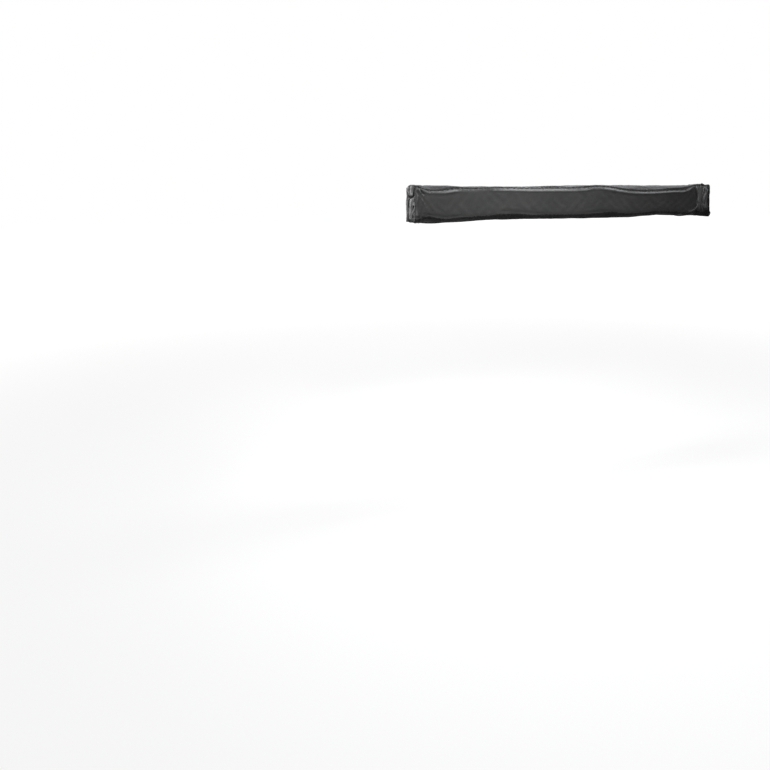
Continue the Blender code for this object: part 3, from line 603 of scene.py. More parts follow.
# Bag: one wrapped cloth from the rail's lower edge, under the arms, up the front and over the top to the zip
bag = {
    "columns": 225,
    "crowd": 0.60,  # closer columns towards the ends
    "backY": -0.0052,
    "startZ": -0.0712,  # just below the rail's lower groove
    "zipY": -0.0069,
    "zipZ": 0.0878,
    "backCorner": 0.006,
    "topCornerDepth": (0.008, 0.028),
    "lowCornerDepth": (0.038, 0.016),
    "frontTurn": 0.008,  # radius of the soft edge where the front meets the front end
    "frontReach": 0.0080,  # how far that edge stands past the end
    # How far the front panel stands out, from its lower seam (0) to its upper (1)
    "belly": ((0.0, 0.0), (0.06, 0.0022), (0.13, 0.0040), (0.24, 0.0052), (0.50, 0.0055), (0.80, 0.0057),
              (0.90, 0.0053), (0.955, 0.0038), (1.0, 0.0)),
    "cloth": 0.0015,
    "slack": 0.0004,  # most that the cloth moves as it drapes
    "flare": pairs(-94, 17, -78, 17.5, -56, 2, -32, -6.5, 0, -12, 44, -15, 100, -16.5),
    # The outline and the seams along X, as the photograph shows them
    "top": pairs(
        -968, 97.5, -925, 100, -860, 101, -790, 98.5, -730, 94.5, -600, 92, -410, 90.5, -220, 91, -20, 93,
        150, 95.5, 280, 92.5, 570, 88.5, 662, 85, 754, 84.5, 785, 88.5, 824, 91.2, 850, 94, 900, 93,
        930, 89.5, 958, 88.5,
    ),
    "low": pairs(
        -968, -86, -930, -90.5, -870, -94, -790, -92.5, -640, -87, -500, -82.5, -300, -83, -100, -85,
        140, -87.5, 300, -88, 440, -86.5, 550, -81, 630, -77.5, 730, -83, 775, -83, 795, -88.5, 850, -87,
        908, -86.5, 958, -92,
    ),
    "piping": pairs(
        -968, 96, -940, 94.5, -928, 89, -917, 83, -903, 77.8, -884, 74.8, -855, 74.5, -829, 75.9,
        -795, 79.5, -745, 86.5, -660, 84, -550, 86.8, -470, 87.2, -350, 85, -200, 82.8, -100, 83.8,
        -20, 81.2, 80, 85, 155, 89.5, 235, 85.5, 285, 77, 345, 67, 490, 60, 615, 64, 664, 66.8, 745, 66.6,
        774, 71.5, 802, 83.5, 824, 90, 868, 92.5, 900, 91, 958, 87,
    ),
    "welt": pairs(
        -968, -78, -944, -75.5, -930, -70, -916, -63.8, -900, -60.2, -884, -60.8, -862, -66, -833, -70.8,
        -790, -75, -740, -72, -650, -67, -550, -63.5, -460, -57.5, -380, -56, -280, -63, -110, -65.5,
        45, -68, 160, -64, 250, -60.5, 330, -67, 430, -67.5, 570, -60, 660, -64, 720, -65.5, 750, -71,
        790, -75.5, 815, -75.5, 838, -67, 860, -57, 880, -65.5, 902, -73.5, 918, -69, 935, -60.5, 958, -64,
    ),
}
# Folds on the front
frontFolds = (
    fold(4.6, 4.8, -955, 94, -939, 86, -925, 78.5, -911, 71.5, -897, 67, -861, 66, -800, 66.5, -720, 75),
    fold(9, -1.4, -950, 70, -895, 54, -830, 50, -730, 56),
    fold(5.5, 2.6, -955, 60, -935, 35, -915, 5),
    fold(3.6, 4.2, -962, 96, -950, 82, -936, 64, -924, 50),
    fold(3.6, -4.6, -953, 98, -942, 84, -928, 68, -914, 56),
    fold(3.4, -3.4, -966, 80, -956, 68, -948, 52),
    fold(6, 3.8, -500, 76, -400, 73, -240, 70, -70, 69, 60, 73, 140, 80),
    fold(5.5, 3.8, 180, 78, 270, 64, 360, 55, 470, 48, 600, 50),
    fold(10, -1.8, 220, 60, 320, 46, 440, 36, 580, 34),
    fold(5, 4, 600, 51, 700, 54, 755, 56, 790, 66, 815, 78),
    fold(6, -2.4, -480, -36, -380, -39, -280, -47, -180, -56),
    fold(3.8, -4, -965, -58, -940, -59, -915, -56),
    fold(5.5, -2.6, -930, -44, -860, -50, -780, -60, -700, -55),
    fold(5.5, -2.4, 80, -55, 190, -48, 300, -56),
    fold(4.6, 4, 800, -62, 835, -52, 856, -40, 868, -22),
    fold(6, -3.2, 832, 82, 842, 52, 853, 24, 856, 2, 868, -18),
    fold(8.5, 4.4, 845, 80, 857, 50, 869, 24, 872, 4, 885, -14, 905, -26, 928, -37),
    fold(6.6, -2.2, 880, 82, 889, 50, 893, 24, 894, 4, 906, -10),
    fold(8, 5, 925, 60, 921, 45, 912, 20, 911, 4, 922, -14, 934, -32),
    fold(4.5, -1.6, 940, 70, 934, 30, 932, 5, 938, -20),
    fold(4.5, 5, 905, 80, 912, 68, 924, 56),
    fold(3.4, 3.6, 745, -65.5, 767, -71, 790, -72.2, 812, -71.8, 830, -66, 844, -58, 860, -50),
    fold(3.4, 3.6, 866, -52, 882, -63, 902, -69, 917, -63.5, 930, -54),
)
# Rows of points in each stretch of the wrapped cloth, from the rail to the zip
rowCounts = {
    "back": 4, "backCorner": 4, "under": 18, "lowCorner": 8, "front": 20, "topCorner": 8, "over": 18,
}


def plainBag():
    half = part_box("bag_front")[1].x + 0.0012
    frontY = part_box("bag_front")[0].y
    t = np.linspace(-1, 1, bag["columns"])
    x = half * (t + bag["crowd"] * np.sin(math.pi * t) / math.pi)
    top, low = follow(bag["top"], x), follow(bag["low"], x)
    piping = np.minimum(follow(bag["piping"], x), top - 0.0035 + 0.0022 * ease(0.79, 0.83, x))
    welt = np.maximum(follow(bag["welt"], x), low + 0.012)
    lowBack = 0.5 * low + 0.5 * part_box("bag_bottom")[0].z
    ones = np.ones_like(x)
    depthTop = np.clip(top - piping, *bag["topCornerDepth"])
    rows = []

    def straight(count, start, end, bow=0.0, outwards=()):
        for i in range(count):
            t = i / count
            y = start[0] * (1 - t) + end[0] * t
            z = start[1] * (1 - t) + end[1] * t
            if outwards:
                y = y - follow(outwards, t)
            rows.append((y * ones, z * ones + bow * math.sin(math.pi * t)))

    def corner(count, start, end, vertical):
        for i in range(count):
            a = math.pi / 2 * i / count
            if vertical:  # leaves start upright and arrives level
                y = start[0] + (end[0] - start[0]) * (1 - math.cos(a))
                z = start[1] + (end[1] - start[1]) * math.sin(a)
            else:  # leaves start level, nearly a straight chamfer
                y = start[0] + (end[0] - start[0]) * (0.35 * math.sin(a) + 0.65 * i / count)
                z = start[1] + (end[1] - start[1]) * (0.35 * (1 - math.cos(a)) + 0.65 * i / count)
            rows.append((y * ones, z * ones))

    r = bag["backCorner"]
    straight(rowCounts["back"], (bag["backY"], bag["startZ"]), (bag["backY"], lowBack + r))
    corner(rowCounts["backCorner"], (bag["backY"], lowBack + r), (bag["backY"] - r, lowBack), True)
    deep, shallow = bag["lowCornerDepth"]
    lowTurn = frontY + deep + (shallow - deep) * ease(0.88, 0.94, x)
    straight(rowCounts["under"], (bag["backY"] - r, lowBack), (lowTurn, low), -0.0016)
    corner(rowCounts["lowCorner"], (lowTurn, low), (frontY, welt), False)
    weltRow = len(rows)
    straight(rowCounts["front"], (frontY, welt), (frontY, piping), outwards=bag["belly"])
    pipingRow = len(rows)
    topTurn = frontY + depthTop
    corner(rowCounts["topCorner"], (frontY, piping), (topTurn, top), True)
    straight(rowCounts["over"] + 1, (topTurn, top), (bag["zipY"], bag["zipZ"]), -0.0012)
    rows[-1] = (bag["zipY"] * ones, bag["zipZ"] * ones)
    points = np.zeros((len(rows), len(x), 3))
    turn = bag["frontTurn"]
    for k, (y, z) in enumerate(rows):
        nearFace = 1 - ease(frontY + 0.03, frontY + 0.10, y)
        atFace = 1 - ease(frontY + 0.002, frontY + 0.014, y)
        left = -half - bag["frontReach"] * nearFace
        points[k, :, 0] = x + follow(bag["flare"], z * ones) * ease(0.88, half, x)
        points[k, :, 0] -= bag["frontReach"] * nearFace * (1 - ease(-half, -0.90, x))
        away = np.clip(points[k, :, 0] - left, 0, turn)
        points[k, :, 1] = y + (turn - np.sqrt(turn**2 - (turn - away) ** 2)) * atFace
        points[k, :, 2] = z
    return points, weltRow, pipingRow


def foldHeights(x, z, folds):
    total = np.zeros_like(x)
    for fold in folds:
        line = fold["line"]
        steep = abs(line[-1][1] - line[0][1]) > abs(line[-1][0] - line[0][0])
        if steep:
            ordered = sorted((p[1], p[0]) for p in line)
            away = x - follow(ordered, z)
            place, ends = z, (ordered[0][0], ordered[-1][0])
        else:
            away = z - follow(line, x)
            place, ends = x, (line[0][0], line[-1][0])
        fade = 0.14 * (ends[1] - ends[0])
        shown = window(place, ends[0] - fade, ends[0] + fade, ends[1] - fade, ends[1] + fade)
        total += fold["out"] * shown * hump(away, 0, fold["wide"])
    return total


# Waves of the bag's cloth: their two lengths, seed, count and height
ripples = {
    "slow": (0.34, 0.30, 11, 16, 0.0005),
    "quick": (0.085, 0.055, 12, 16, 0.00026),
    "top": (0.42, 0.075, 13, 7, 0.0016),
    "topCreases": (0.30, 0.060, 15, 5, 0.0014),
    "under": (0.26, 0.09, 14, 7, 0.0009),
    "rearGathers": (0.040, 0.16, 21, 16, 0.0017),
    "frontGathers": (0.030, 0.12, 22, 16, 0.0011),
}


# Waves of one kind, or with sharp crests where a steepness is given
def rippled(name, first, second, steep=None):
    *shape, height = ripples[name]
    heights = waves(first, second, *shape)
    if steep is not None:
        heights = 1 - steep * np.abs(heights)
    return heights * height


def foldedBag():
    points, weltRow, pipingRow = plainBag()
    rows, columns = points.shape[:2]
    x, z = points[:, :, 0], points[:, :, 2]
    row = np.arange(rows)[:, None] * np.ones((1, columns))
    normals = normalsOf(points)
    across = row * 0.006  # about how far apart the rows are
    onFront = window(row, weltRow - 1, weltRow + 2, pipingRow - 2, pipingRow + 1)
    onTop = window(row, pipingRow, pipingRow + 4, rows - 7, rows - 2)
    under = window(row, 8, 13, weltRow - 4, weltRow)
    shift = foldHeights(x, z, frontFolds) * onFront
    shift += (rippled("slow", x, across) + rippled("quick", x, across)) * (0.35 + 0.65 * onFront)
    calm = ease(-0.955, -0.90, x)
    shift += rippled("top", x, across) * onTop * calm
    shift += rippled("topCreases", x, across, 1) * onTop * calm
    shift += rippled("under", x, across) * under
    for seam, deep in ((weltRow, 0.0024), (pipingRow, 0.0014)):
        shift -= deep * hump(row, seam, 0.9)
    nearRear = ease(0.84, 0.90, x) * (0.4 + 0.6 * (1 - ease(0.945, 0.957, x))) * ease(8, 16, row)
    shift += rippled("rearGathers", x + 0.10 * z, z, 1.6) * nearRear
    shift += rippled("frontGathers", x, z) * (1 - ease(-0.945, -0.885, x))
    # The front end's gathers lift the top of the bag, and a tuck of cloth stands up by the rear top corner
    share = np.clip((row - pipingRow - 2) / (rows - pipingRow - 4), 0, 1)
    lobe = np.sin(math.pi * share**1.35) ** 0.6 * (1 - ease(-0.955, -0.915, x))
    tuck = np.exp(-((x - 0.889) / 0.012) ** 2 - ((row - pipingRow - 4) / 3.0) ** 2)
    points = points + normals * shift[:, :, None]
    points[:, :, 2] += 0.0120 * tuck + 0.0135 * lobe * (row > pipingRow)
    points[:, :, 2] = capped(points[:, :, 2], 0.1030)
    return points, weltRow, pipingRow


# The cloth is let grow a little between its sewn lines, so that it buckles as slack cloth does
drape = {
    "steps": 18,
    "hold": 0.20,
    "gravity": 0.35,
    "cloth": {"quality": 5, "mass": 0.25, "tension_stiffness": 22.0, "compression_stiffness": 22.0,
              "shear_stiffness": 8.0, "bending_stiffness": 2.0, "shrink_min": -0.004,
              "vertex_group_mass": "held", "pin_stiffness": 1.0},
}


def drapedBag(points, weltRow, pipingRow):
    rows, columns = points.shape[:2]
    shell = clothPiece("bagShell", points, np.zeros((rows, columns, 2)), np.zeros((rows, columns)))
    held = shell.vertex_groups.new(name="held")
    sewn = {0, 1, weltRow, pipingRow, rows - 1, rows - 2}
    for k in range(rows):
        for i in range(columns):
            edge = k in sewn or i in (0, columns - 1)
            held.add([k * columns + i], 1.0 if edge else drape["hold"], "REPLACE")
    cloth = shell.modifiers.new("cloth", "CLOTH")
    for key, value in drape["cloth"].items():
        setattr(cloth.settings, key, value)
    cloth.settings.effector_weights.gravity = drape["gravity"]
    cloth.point_cache.frame_start = 1
    cloth.point_cache.frame_end = drape["steps"]
    cloth.collision_settings.use_collision = False
    for step in range(1, drape["steps"] + 1):
        bpy.context.scene.frame_set(step)
    graph = bpy.context.evaluated_depsgraph_get()
    result = placesOf(shell.evaluated_get(graph).data)
    bpy.context.scene.frame_set(1)
    bpy.data.objects.remove(shell)
    return result.reshape(rows, columns, 3)


def kept(points, before):
    normals = normalsOf(before)
    out = np.sum((points - before) * normals, axis=2)
    limited = bag["slack"] * np.tanh(out / bag["slack"])
    return points + normals * (limited - out)[:, :, None]


def bagPoints():
    points, weltRow, pipingRow = foldedBag()
    points = kept(drapedBag(points, weltRow, pipingRow), points)
    for axis in (0, 1):
        points = finer(points, axis)
    weltRow, pipingRow = 2 * weltRow, 2 * pipingRow
    rows = points.shape[0]
    # Small puckers along the sewn lines
    row = np.arange(rows)[:, None] * 0.003
    x = points[:, :, 0]
    for seam, deep in ((weltRow, 0.0006), (pipingRow, 0.0008), (rows - 1, 0.0005)):
        near = hump(row, seam * 0.003, 0.010) * (1 - hump(row, seam * 0.003, 0.0025))
        pucker = waves(x, row, 0.022, 0.09, 31 + seam) * deep * near
        points = points + normalsOf(points) * pucker[:, :, None]
    return points, weltRow, pipingRow


def lengthMap(points):
    steps = np.linalg.norm(np.diff(points, axis=0), axis=2)
    along = np.concatenate([np.zeros((1, points.shape[1])), np.cumsum(steps, axis=0)])
    return np.stack([points[:, :, 0], along.mean(axis=1, keepdims=True) * np.ones_like(along)], axis=2)


points, weltRow, pipingRow = bagPoints()
clothAt = lengthMap(points)
tapeRows = 6
bindColumns = 6


# Painted highlight and wear on ridges and outward folds, painted shade in hollows and along seams
def bagPaintedLight():
    row = np.arange(points.shape[0])[:, None] * np.ones((1, points.shape[1]))
    x, z = points[:, :, 0], points[:, :, 2]
    onFront = window(row, weltRow, weltRow + 6, pipingRow - 5, pipingRow)
    folded = foldHeights(x, z, frontFolds) / 0.0065 * onFront
    # A painted highlight patch on the front, by the rear end
    litPatch = window(x, 0.848, 0.862, 0.945, 0.953) * onFront * ease(-0.058, -0.025, z)
    # Painted shade along the welt and the piping
    seams = hump(row, weltRow, 2.2) + 0.6 * hump(row, pipingRow, 1.5)
    folded = np.where(folded > 0, 0.50, 0.38) * folded * (1 - 0.45 * litPatch)
    # A painted highlight strip on the lower chamfer, towards the left
    lit = 1.7 * (1 - ease(-0.70, -0.50, x)) * hump(row, weltRow - 10, 4.5)
    # Painted shade on the underside, and on the top by the front end
    shadeBands = (0.95 - lit) * (1 - ease(weltRow - 4, weltRow, row)) * ease(8, 20, row)
    shadeBands += (0.55 * ease(pipingRow, pipingRow + 6, row) * ease(-0.945, -0.92, x)
               * (1 - ease(-0.84, -0.78, x)))
    return np.clip(0.7 * ridgeOf(points, 14, 0.0024) + folded + 1.1 * litPatch - shadeBands - 1.3 * seams, -1, 1)


ridge = bagPaintedLight()
print("bag draped", points.shape)

# Each panel: its rows, its CAD node, its two bodies with a place on each, and its flat size
panels = {
    "bagBottom": {"rows": (0, weltRow), "node": "bag_bottom", "flat": (1.94, 0.175),
                  "blend": ("mount", "bag_bottom", (0, -0.004, -0.085), (0, -0.040, -0.085))},
    "bagFront": {"rows": (weltRow, pipingRow), "node": "bag_front", "flat": (1.94, 0.150),
                 "blend": ("bag_bottom", "bag_front", (0, -0.148, -0.066), (0, -0.148, -0.036))},
    "bagTop": {"rows": (pipingRow, points.shape[0] - 1), "node": "bag_top", "flat": (1.94, 0.155),
               "blend": ("bag_front", "bag_top", (0, -0.150, 0.080), (0, -0.112, 0.080))},
}
for name, panel in panels.items():
    first, last = panel["rows"]
    part = slice(first, last + 1)
    piece = clothPiece(name, points[part], clothAt[part], ridge[part])
    paint(piece, "bag", "lining", "tape")
    perRow = points.shape[1] - 1
    # The front's binding columns and the top panel's first rows past x 0.905 take the dark tape finish
    for face in piece.data.polygons:
        column = face.index % perRow
        nearPiping = name == "bagTop" and face.index // perRow < 8 and points[pipingRow, column, 0] > 0.905
        if (name == "bagFront" and column >= perRow - bindColumns) or nearPiping:
            face.material_index = 2
    thicken(piece)
    if name == "bagTop":
        edgeAt = clothAt[-1 - tapeRows, 0, 1]
        for face in piece.data.polygons:
            corner = piece.data.uv_layers[0].data[face.loop_start].uv
            if corner[1] > edgeAt:
                face.material_index = 2
            elif face.material_index == 1 and face.center.x < -0.93:  # unlined by the front corner
                face.material_index = 0
    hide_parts(panel["node"])
    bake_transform(piece)
print("bag panels cut")

# Bag ends: gathered cloth, with each fold's line in distance back from the front edge and height
bagEnd = {
    "across": 61,
    "up": 81,
    "fill": 0.0030,  # bulge
    "limit": (0.9790, 0.9435),  # how far out and in the cloth may lie
    "flat": (0.21, 0.19),
    "backBulge": pairs(-85, 0.4, -50, -1, -10, 0, 18, 2, 30, 1, 42, -1, 55, -1.5, 70, 0.5, 85, 0, 100, -3),
    -1: (
        fold(8, -16, 17, 103, 19, 85, 25, 70, 28, 48),
        fold(12, 8, 55, 100, 60, 75, 56, 50),
        fold(6.5, -8.5, 86, 98, 90, 74, 86, 55),
        fold(8, 5, 106, 94, 108, 72, 102, 58),
        fold(6, -5, 127, 94, 129, 72, 127, 58),
        fold(5, -11.5, 30, 46, 60, 40, 90, 41, 116, 45),
        fold(12, 8.5, 56, 32, 58, 5, 66, -30, 74, -74),
        fold(7.5, -14, 21, 0, 32, -24, 46, -42, 52, -62),
        fold(3.6, 8, 4, -12, 19, -33, 36, -56, 52, -74),
        fold(6, 4, 14, 36, 18, 18, 12, 0),
        fold(8, -10, 96, 30, 103, -15, 97, -50, 103, -78),
        fold(8.5, 5, 122, 26, 124, -18, 119, -55),
        fold(3.5, -3.4, 80, 12, 83, -20, 87, -50),
        fold(5, -7, 30, -82, 70, -79, 125, -82),
    ),
    1: (
        fold(11, 5, 30, 85, 36, 40, 32, -10, 40, -70),
        fold(7.5, -6, 55, 88, 52, 45, 60, 5, 54, -50),
        fold(12, 5, 80, 80, 78, 30, 86, -30, 80, -80),
        fold(8, -5.5, 108, 85, 104, 40, 110, -10, 102, -60),
        fold(6.5, -5, 12, 70, 14, 20, 10, -50),
    ),
}


bothEnds = ((-1, "front"), (1, "rear"))


# How far along a line each of its points lies
def lengthsOf(line):
    return np.concatenate([[0], np.cumsum(np.linalg.norm(np.diff(line, axis=0), axis=1))])


def onLine(wanted, lengths, values):
    return np.column_stack([np.interp(wanted, lengths, values[:, k]) for k in range(3)])


def evenly(line, count):
    lengths = lengthsOf(line)
    return onLine(np.linspace(0, lengths[-1], count), lengths, line)


def endPoints(side):
    column = points[:, 0 if side < 0 else -1]
    lowTurn = weltRow - rowCounts["lowCorner"] - 2
    highTurn = pipingRow + rowCounts["topCorner"]
    across, up = bagEnd["across"], bagEnd["up"]
    floor = evenly(column[:lowTurn + 1][::-1], across)
    wall = evenly(column[lowTurn:highTurn + 1], up)
    roof = evenly(column[highTurn:], across)
    back = evenly(np.array([column[0], column[-1]]), up)
    u = np.linspace(0, 1, across)[None, :, None]
    v = np.linspace(0, 1, up)[:, None, None]
    surface = (1 - v) * floor[None] + v * roof[None] + (1 - u) * wall[:, None] + u * back[:, None]
    corners = (1 - u) * (1 - v) * floor[0] + u * (1 - v) * floor[-1]
    corners = corners + (1 - u) * v * roof[0] + u * v * roof[-1]
    surface = finer(finer(surface - corners, 0), 1)
    u = np.linspace(0, 1, surface.shape[1])[None]
    v = np.linspace(0, 1, surface.shape[0])[:, None]
    deep = surface[:, :, 1] - column[:, 1].min()
    high = surface[:, :, 2]
    sewn = ease(0, 0.10, u) * window(v, 0, 0.07, 0.94, 1)  # still at its sewn edges
    shift = bagEnd["fill"] * np.sin(math.pi * np.clip(u, 0, 1)) ** 0.5 * np.sin(math.pi * v) ** 0.4
    folded = foldHeights(deep, high, bagEnd[side]) * (0.25 - 0.25 * ease(0.95, 1, v) + 0.75 * sewn)
    shift = shift + folded
    shift += waves(deep, high, 0.026, 0.080, 41 + side) * 0.0012 * (0.3 + 0.7 * sewn)
    shift += waves(deep, high, 0.012, 0.050, 44 + side) * 0.0004
    shift += follow(bagEnd["backBulge"], high) * u ** 2
    outer, inner = bagEnd["limit"]
    surface[:, :, 0] = side * np.clip(side * surface[:, :, 0] + shift, inner, outer)
    surface[:, :, 2] = capped(surface[:, :, 2] + 0.0020 * np.sin(math.pi * u) * ease(0.72, 1.0, v), 0.1040)
    # Painted shade in a strip behind the front edge and along the bottom, eased off further back up top
    shade = 1.5 * hump(deep - 0.008, 0.004 * np.sin(90 * high), 0.009)
    shade = shade * (ease(0.006, 0.024, high) + 0.7 - 0.7 * ease(-0.064, -0.050, high))
    shade += 1.5 * (1 - ease(-0.088, -0.078, high))
    shade -= 0.35 * hump(deep, 0.030, 0.010) * ease(-0.03, 0.0, high)
    # Painted highlight on crests and painted shade in creases; the painted shade strips on the front end
    # only
    paintedLightAndWear = np.clip(0.55 * ridgeOf(surface, 70, 0.0021) * side + folded / 0.0080, -1, 1)
    return surface, np.clip(paintedLightAndWear - (shade if side < 0 else 0), -1, 1)


# The back edge of each end turns in towards the rail's end
def returnHem(surface, side):
    edge = surface[:, -1]
    up = np.linspace(0, 1, len(edge))
    turn = np.linspace(0, 1, 9)
    inner = side * (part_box("rear_end_cap")[1].x + 0.0018)
    reach = np.sin(math.pi * np.clip(up, 0.004, 0.996)) ** 0.25
    hem = np.zeros((len(edge), len(turn), 3))
    for k, t in enumerate(turn):
        rounded = math.sin(math.pi / 2 * min(1.0, t * 2.2))
        hem[:, k, 0] = edge[:, 0] + (inner - edge[:, 0]) * reach * (t ** 1.3)
        hem[:, k, 1] = edge[:, 1] + 0.0034 * rounded
        hem[:, k, 2] = edge[:, 2]
    hem[:, 1:-1, 1] += waves(hem[:, 1:-1, 0], hem[:, 1:-1, 2], 0.05, 0.05, 51) * 0.0006
    return hem


for side, word in bothEnds:
    surface, paintedLightAndWear = endPoints(side)
    hem = returnHem(surface, side)
    surface = np.concatenate([surface, hem[:, 1:]], axis=1)
    paintedLightAndWear = np.pad(paintedLightAndWear, ((0, 0), (0, hem.shape[1] - 1)))
    if side < 0:
        surface, paintedLightAndWear = surface[:, ::-1], paintedLightAndWear[:, ::-1]
    steps = np.linalg.norm(np.diff(surface, axis=0), axis=2).mean(axis=1)
    widths = np.linalg.norm(np.diff(surface, axis=1), axis=2).mean(axis=0)
    up = np.concatenate([[0], np.cumsum(steps)])
    over = np.concatenate([[0], np.cumsum(widths)])
    mapAt = np.stack(np.meshgrid(over, up), axis=2)
    piece = clothPiece(word + "EndPanel", surface, mapAt, paintedLightAndWear)
    # The front end takes a paler copy of the bag's cloth, painted lighter for the light on that end
    paint(piece, "end" if side < 0 else "bag", "lining")
    thicken(piece)
    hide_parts(f"bag_{word}_end")
    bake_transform(piece)
print("bag ends gathered")

# Piping and welt: each cord's row, its radius and how far its middle stands out of the cloth
trim = {
    "topPiping": {"row": pipingRow, "radius": 0.0023, "proud": 0.0006, "body": "bag_front"},
    "lowerWelt": {"row": weltRow, "radius": 0.0012, "proud": 0.0002, "body": "bag_bottom"},
}
endPiping = {"front": 0.0013, "rear": 0.0028}  # radius
for name, cord in trim.items():
    line = points[cord["row"]] + normalsOf(points)[cord["row"]] * cord["proud"]
    # The dark tape on the piping and welt also stands for the painted shade line along them
    dress(sewnCord(name, line, cord["radius"]), "tape", cord["body"])
for side, word in bothEnds:
    column = points[:, 0 if side < 0 else -1]
    for panelName, panel in panels.items():
        first, last = panel["rows"]
        first = first or 2 * rowCounts["back"] + 2
        line = column[first:last + 1] + np.array((side * 0.0008, -0.0004, 0))
        cord = sewnCord(word + "EndPiping" + panelName[3:], line, endPiping[word])
        # Front end cords take its painted-paler cloth, the bottom one dark tape as painted shade; rear end
        # cords: dark tape
        paint(cord, "end" if side < 0 and panelName != "bagBottom" else "tape")
        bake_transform(cord)
print("piping sewn")

# Topstitching: one short thread, repeated along the seams
stitch = {"pitch": 0.0048, "long": 0.0034, "radius": 0.00042, "proud": 0.00022, "start": 0.012}


def oneStitch():
    bpy.ops.mesh.primitive_cylinder_add(vertices=6, radius=stitch["radius"], depth=stitch["long"])
    thread = bpy.context.object
    openAll(thread)
    bpy.ops.mesh.select_all(action="DESELECT")
    selectFaces(thread, lambda place, normal: abs(normal.z) > 0.9)
    bpy.ops.mesh.inset(thickness=stitch["radius"] * 0.45, depth=stitch["radius"] * 0.5)
    closeEdit()
    places = placesOf(thread.data)
    faces = [tuple(face.vertices) for face in thread.data.polygons]
    bpy.data.objects.remove(thread)
    return places, faces


def sewnRow(name, surface, row):
    normals = normalsOf(surface)[row]
    line = surface[row] + normals * stitch["proud"]
    lengths = lengthsOf(line)
    spots = np.arange(stitch["start"], lengths[-1] - stitch["start"], stitch["pitch"])
    centres = onLine(spots, lengths, line)
    ahead = onLine(spots + 0.001, lengths, line) - centres
    ahead /= np.linalg.norm(ahead, axis=1, keepdims=True)
    side = np.cross(onLine(spots, lengths, normals), ahead)
    side /= np.linalg.norm(side, axis=1, keepdims=True)
    shape, faces = oneStitch()
    corners = centres[:, None]
    for axis, direction in enumerate((side, np.cross(ahead, side), ahead)):
        corners = corners + shape[None, :, axis:axis + 1] * direction[:, None]
    count = len(shape)
    allFaces = [tuple(k * count + corner for corner in face) for k in range(len(spots)) for face in faces]
    mesh = bpy.data.meshes.new(name)
    mesh.from_pydata(corners.reshape(-1, 3).tolist(), [], allFaces)
    threads = addObject(name, mesh)
    mapByPlace(mesh)
    openAll(threads)
    bpy.ops.mesh.normals_make_consistent(inside=False)
    closeEdit()
    smooth(threads)
    paint(threads, "thread")
    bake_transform(threads)


for name, row, panel in (
    ("upperStitching", pipingRow - 2, "bagFront"),
    ("lowerStitching", weltRow + 2, "bagFront"),
    ("topStitching", pipingRow + 3, "bagTop"),
    ("zipStitching", points.shape[0] - 2 - tapeRows // 2, "bagTop"),
):
    sewnRow(name, points, row)
frontTurned = points[weltRow:pipingRow + 1].transpose(1, 0, 2)[::-1]
sewnRow("bindingStitching", frontTurned, bindColumns + 1)
print("seams stitched")

# Zip: a beaded tape in the rail's upper groove with a row of coil teeth, and a slider on it
zipper = {
    "tooth": 0.0024,  # from one tooth to the next
    "toothSize": (0.0013, 0.0046, 0.0013),
    "tape": 0.0011,
    "bead": 0.0023,
    "margin": 0.004,
    "bodySize": (0.014, 0.009, 0.0026),
    "bridgeSize": (0.0085, 0.0022, 0.0016),
    "tabStart": 0.009,
    "tabSize": (0.0062, 0.0013),
}


# A box of a given size, open for editing
def openBox(place, size):
    bpy.ops.mesh.primitive_cube_add(size=1, location=place)
    box = bpy.context.object
    box.scale = size
    settle(box)
    openAll(box)
    return box


def bevelAll(width, segments):
    bpy.ops.mesh.select_all(action="SELECT")
    bpy.ops.mesh.bevel(offset=width, segments=segments, affect="EDGES")
    closeEdit()


def zipTape(low, high, y):
    beadZ = low.z + zipper["bead"]
    heights = np.array([beadZ, beadZ + 0.006, beadZ + 0.011, high.z - 0.004, high.z - 0.0008])
    x = np.linspace(low.x, high.x, 160)
    grid = np.zeros((len(heights), len(x), 3))
    grid[:, :, 0] = x[None]
    grid[:, :, 1] = y + zipper["tape"] / 2
    grid[:, :, 2] = heights[:, None]
    tape = clothPiece("zipTape", grid, grid[:, :, [0, 2]], np.zeros(grid.shape[:2]))
    modify(tape, "SOLIDIFY", thickness=zipper["tape"], offset=0)
    line = np.array([(low.x, y, beadZ), (0, y, beadZ), (high.x, y, beadZ)])
    bead = sewnCord("zipBead", line, zipper["bead"])
    paint(tape, "tape")
    paint(bead, "tape")
    tape = joined([tape, bead], "zipTape")
    smooth(tape, 40)
    dress(tape, "tape", "mount", "zip_strip")


def zipTeeth(low, high, y):
    teeth = openBox((0, 0, 0), zipper["toothSize"])
    bevelAll(0.0004, 1)
    teeth.name = "zipTeeth"
    count = int((high.x - low.x - 2 * zipper["margin"]) / zipper["tooth"])
    modify(teeth, "ARRAY", use_relative_offset=False, use_constant_offset=True,
           constant_offset_displace=(zipper["tooth"], 0, 0), count=count)
    teeth.data.transform(Matrix.Translation((low.x + zipper["margin"], y, high.z - 0.0002)))
    dress(teeth, "mouldedPlastic", "mount")


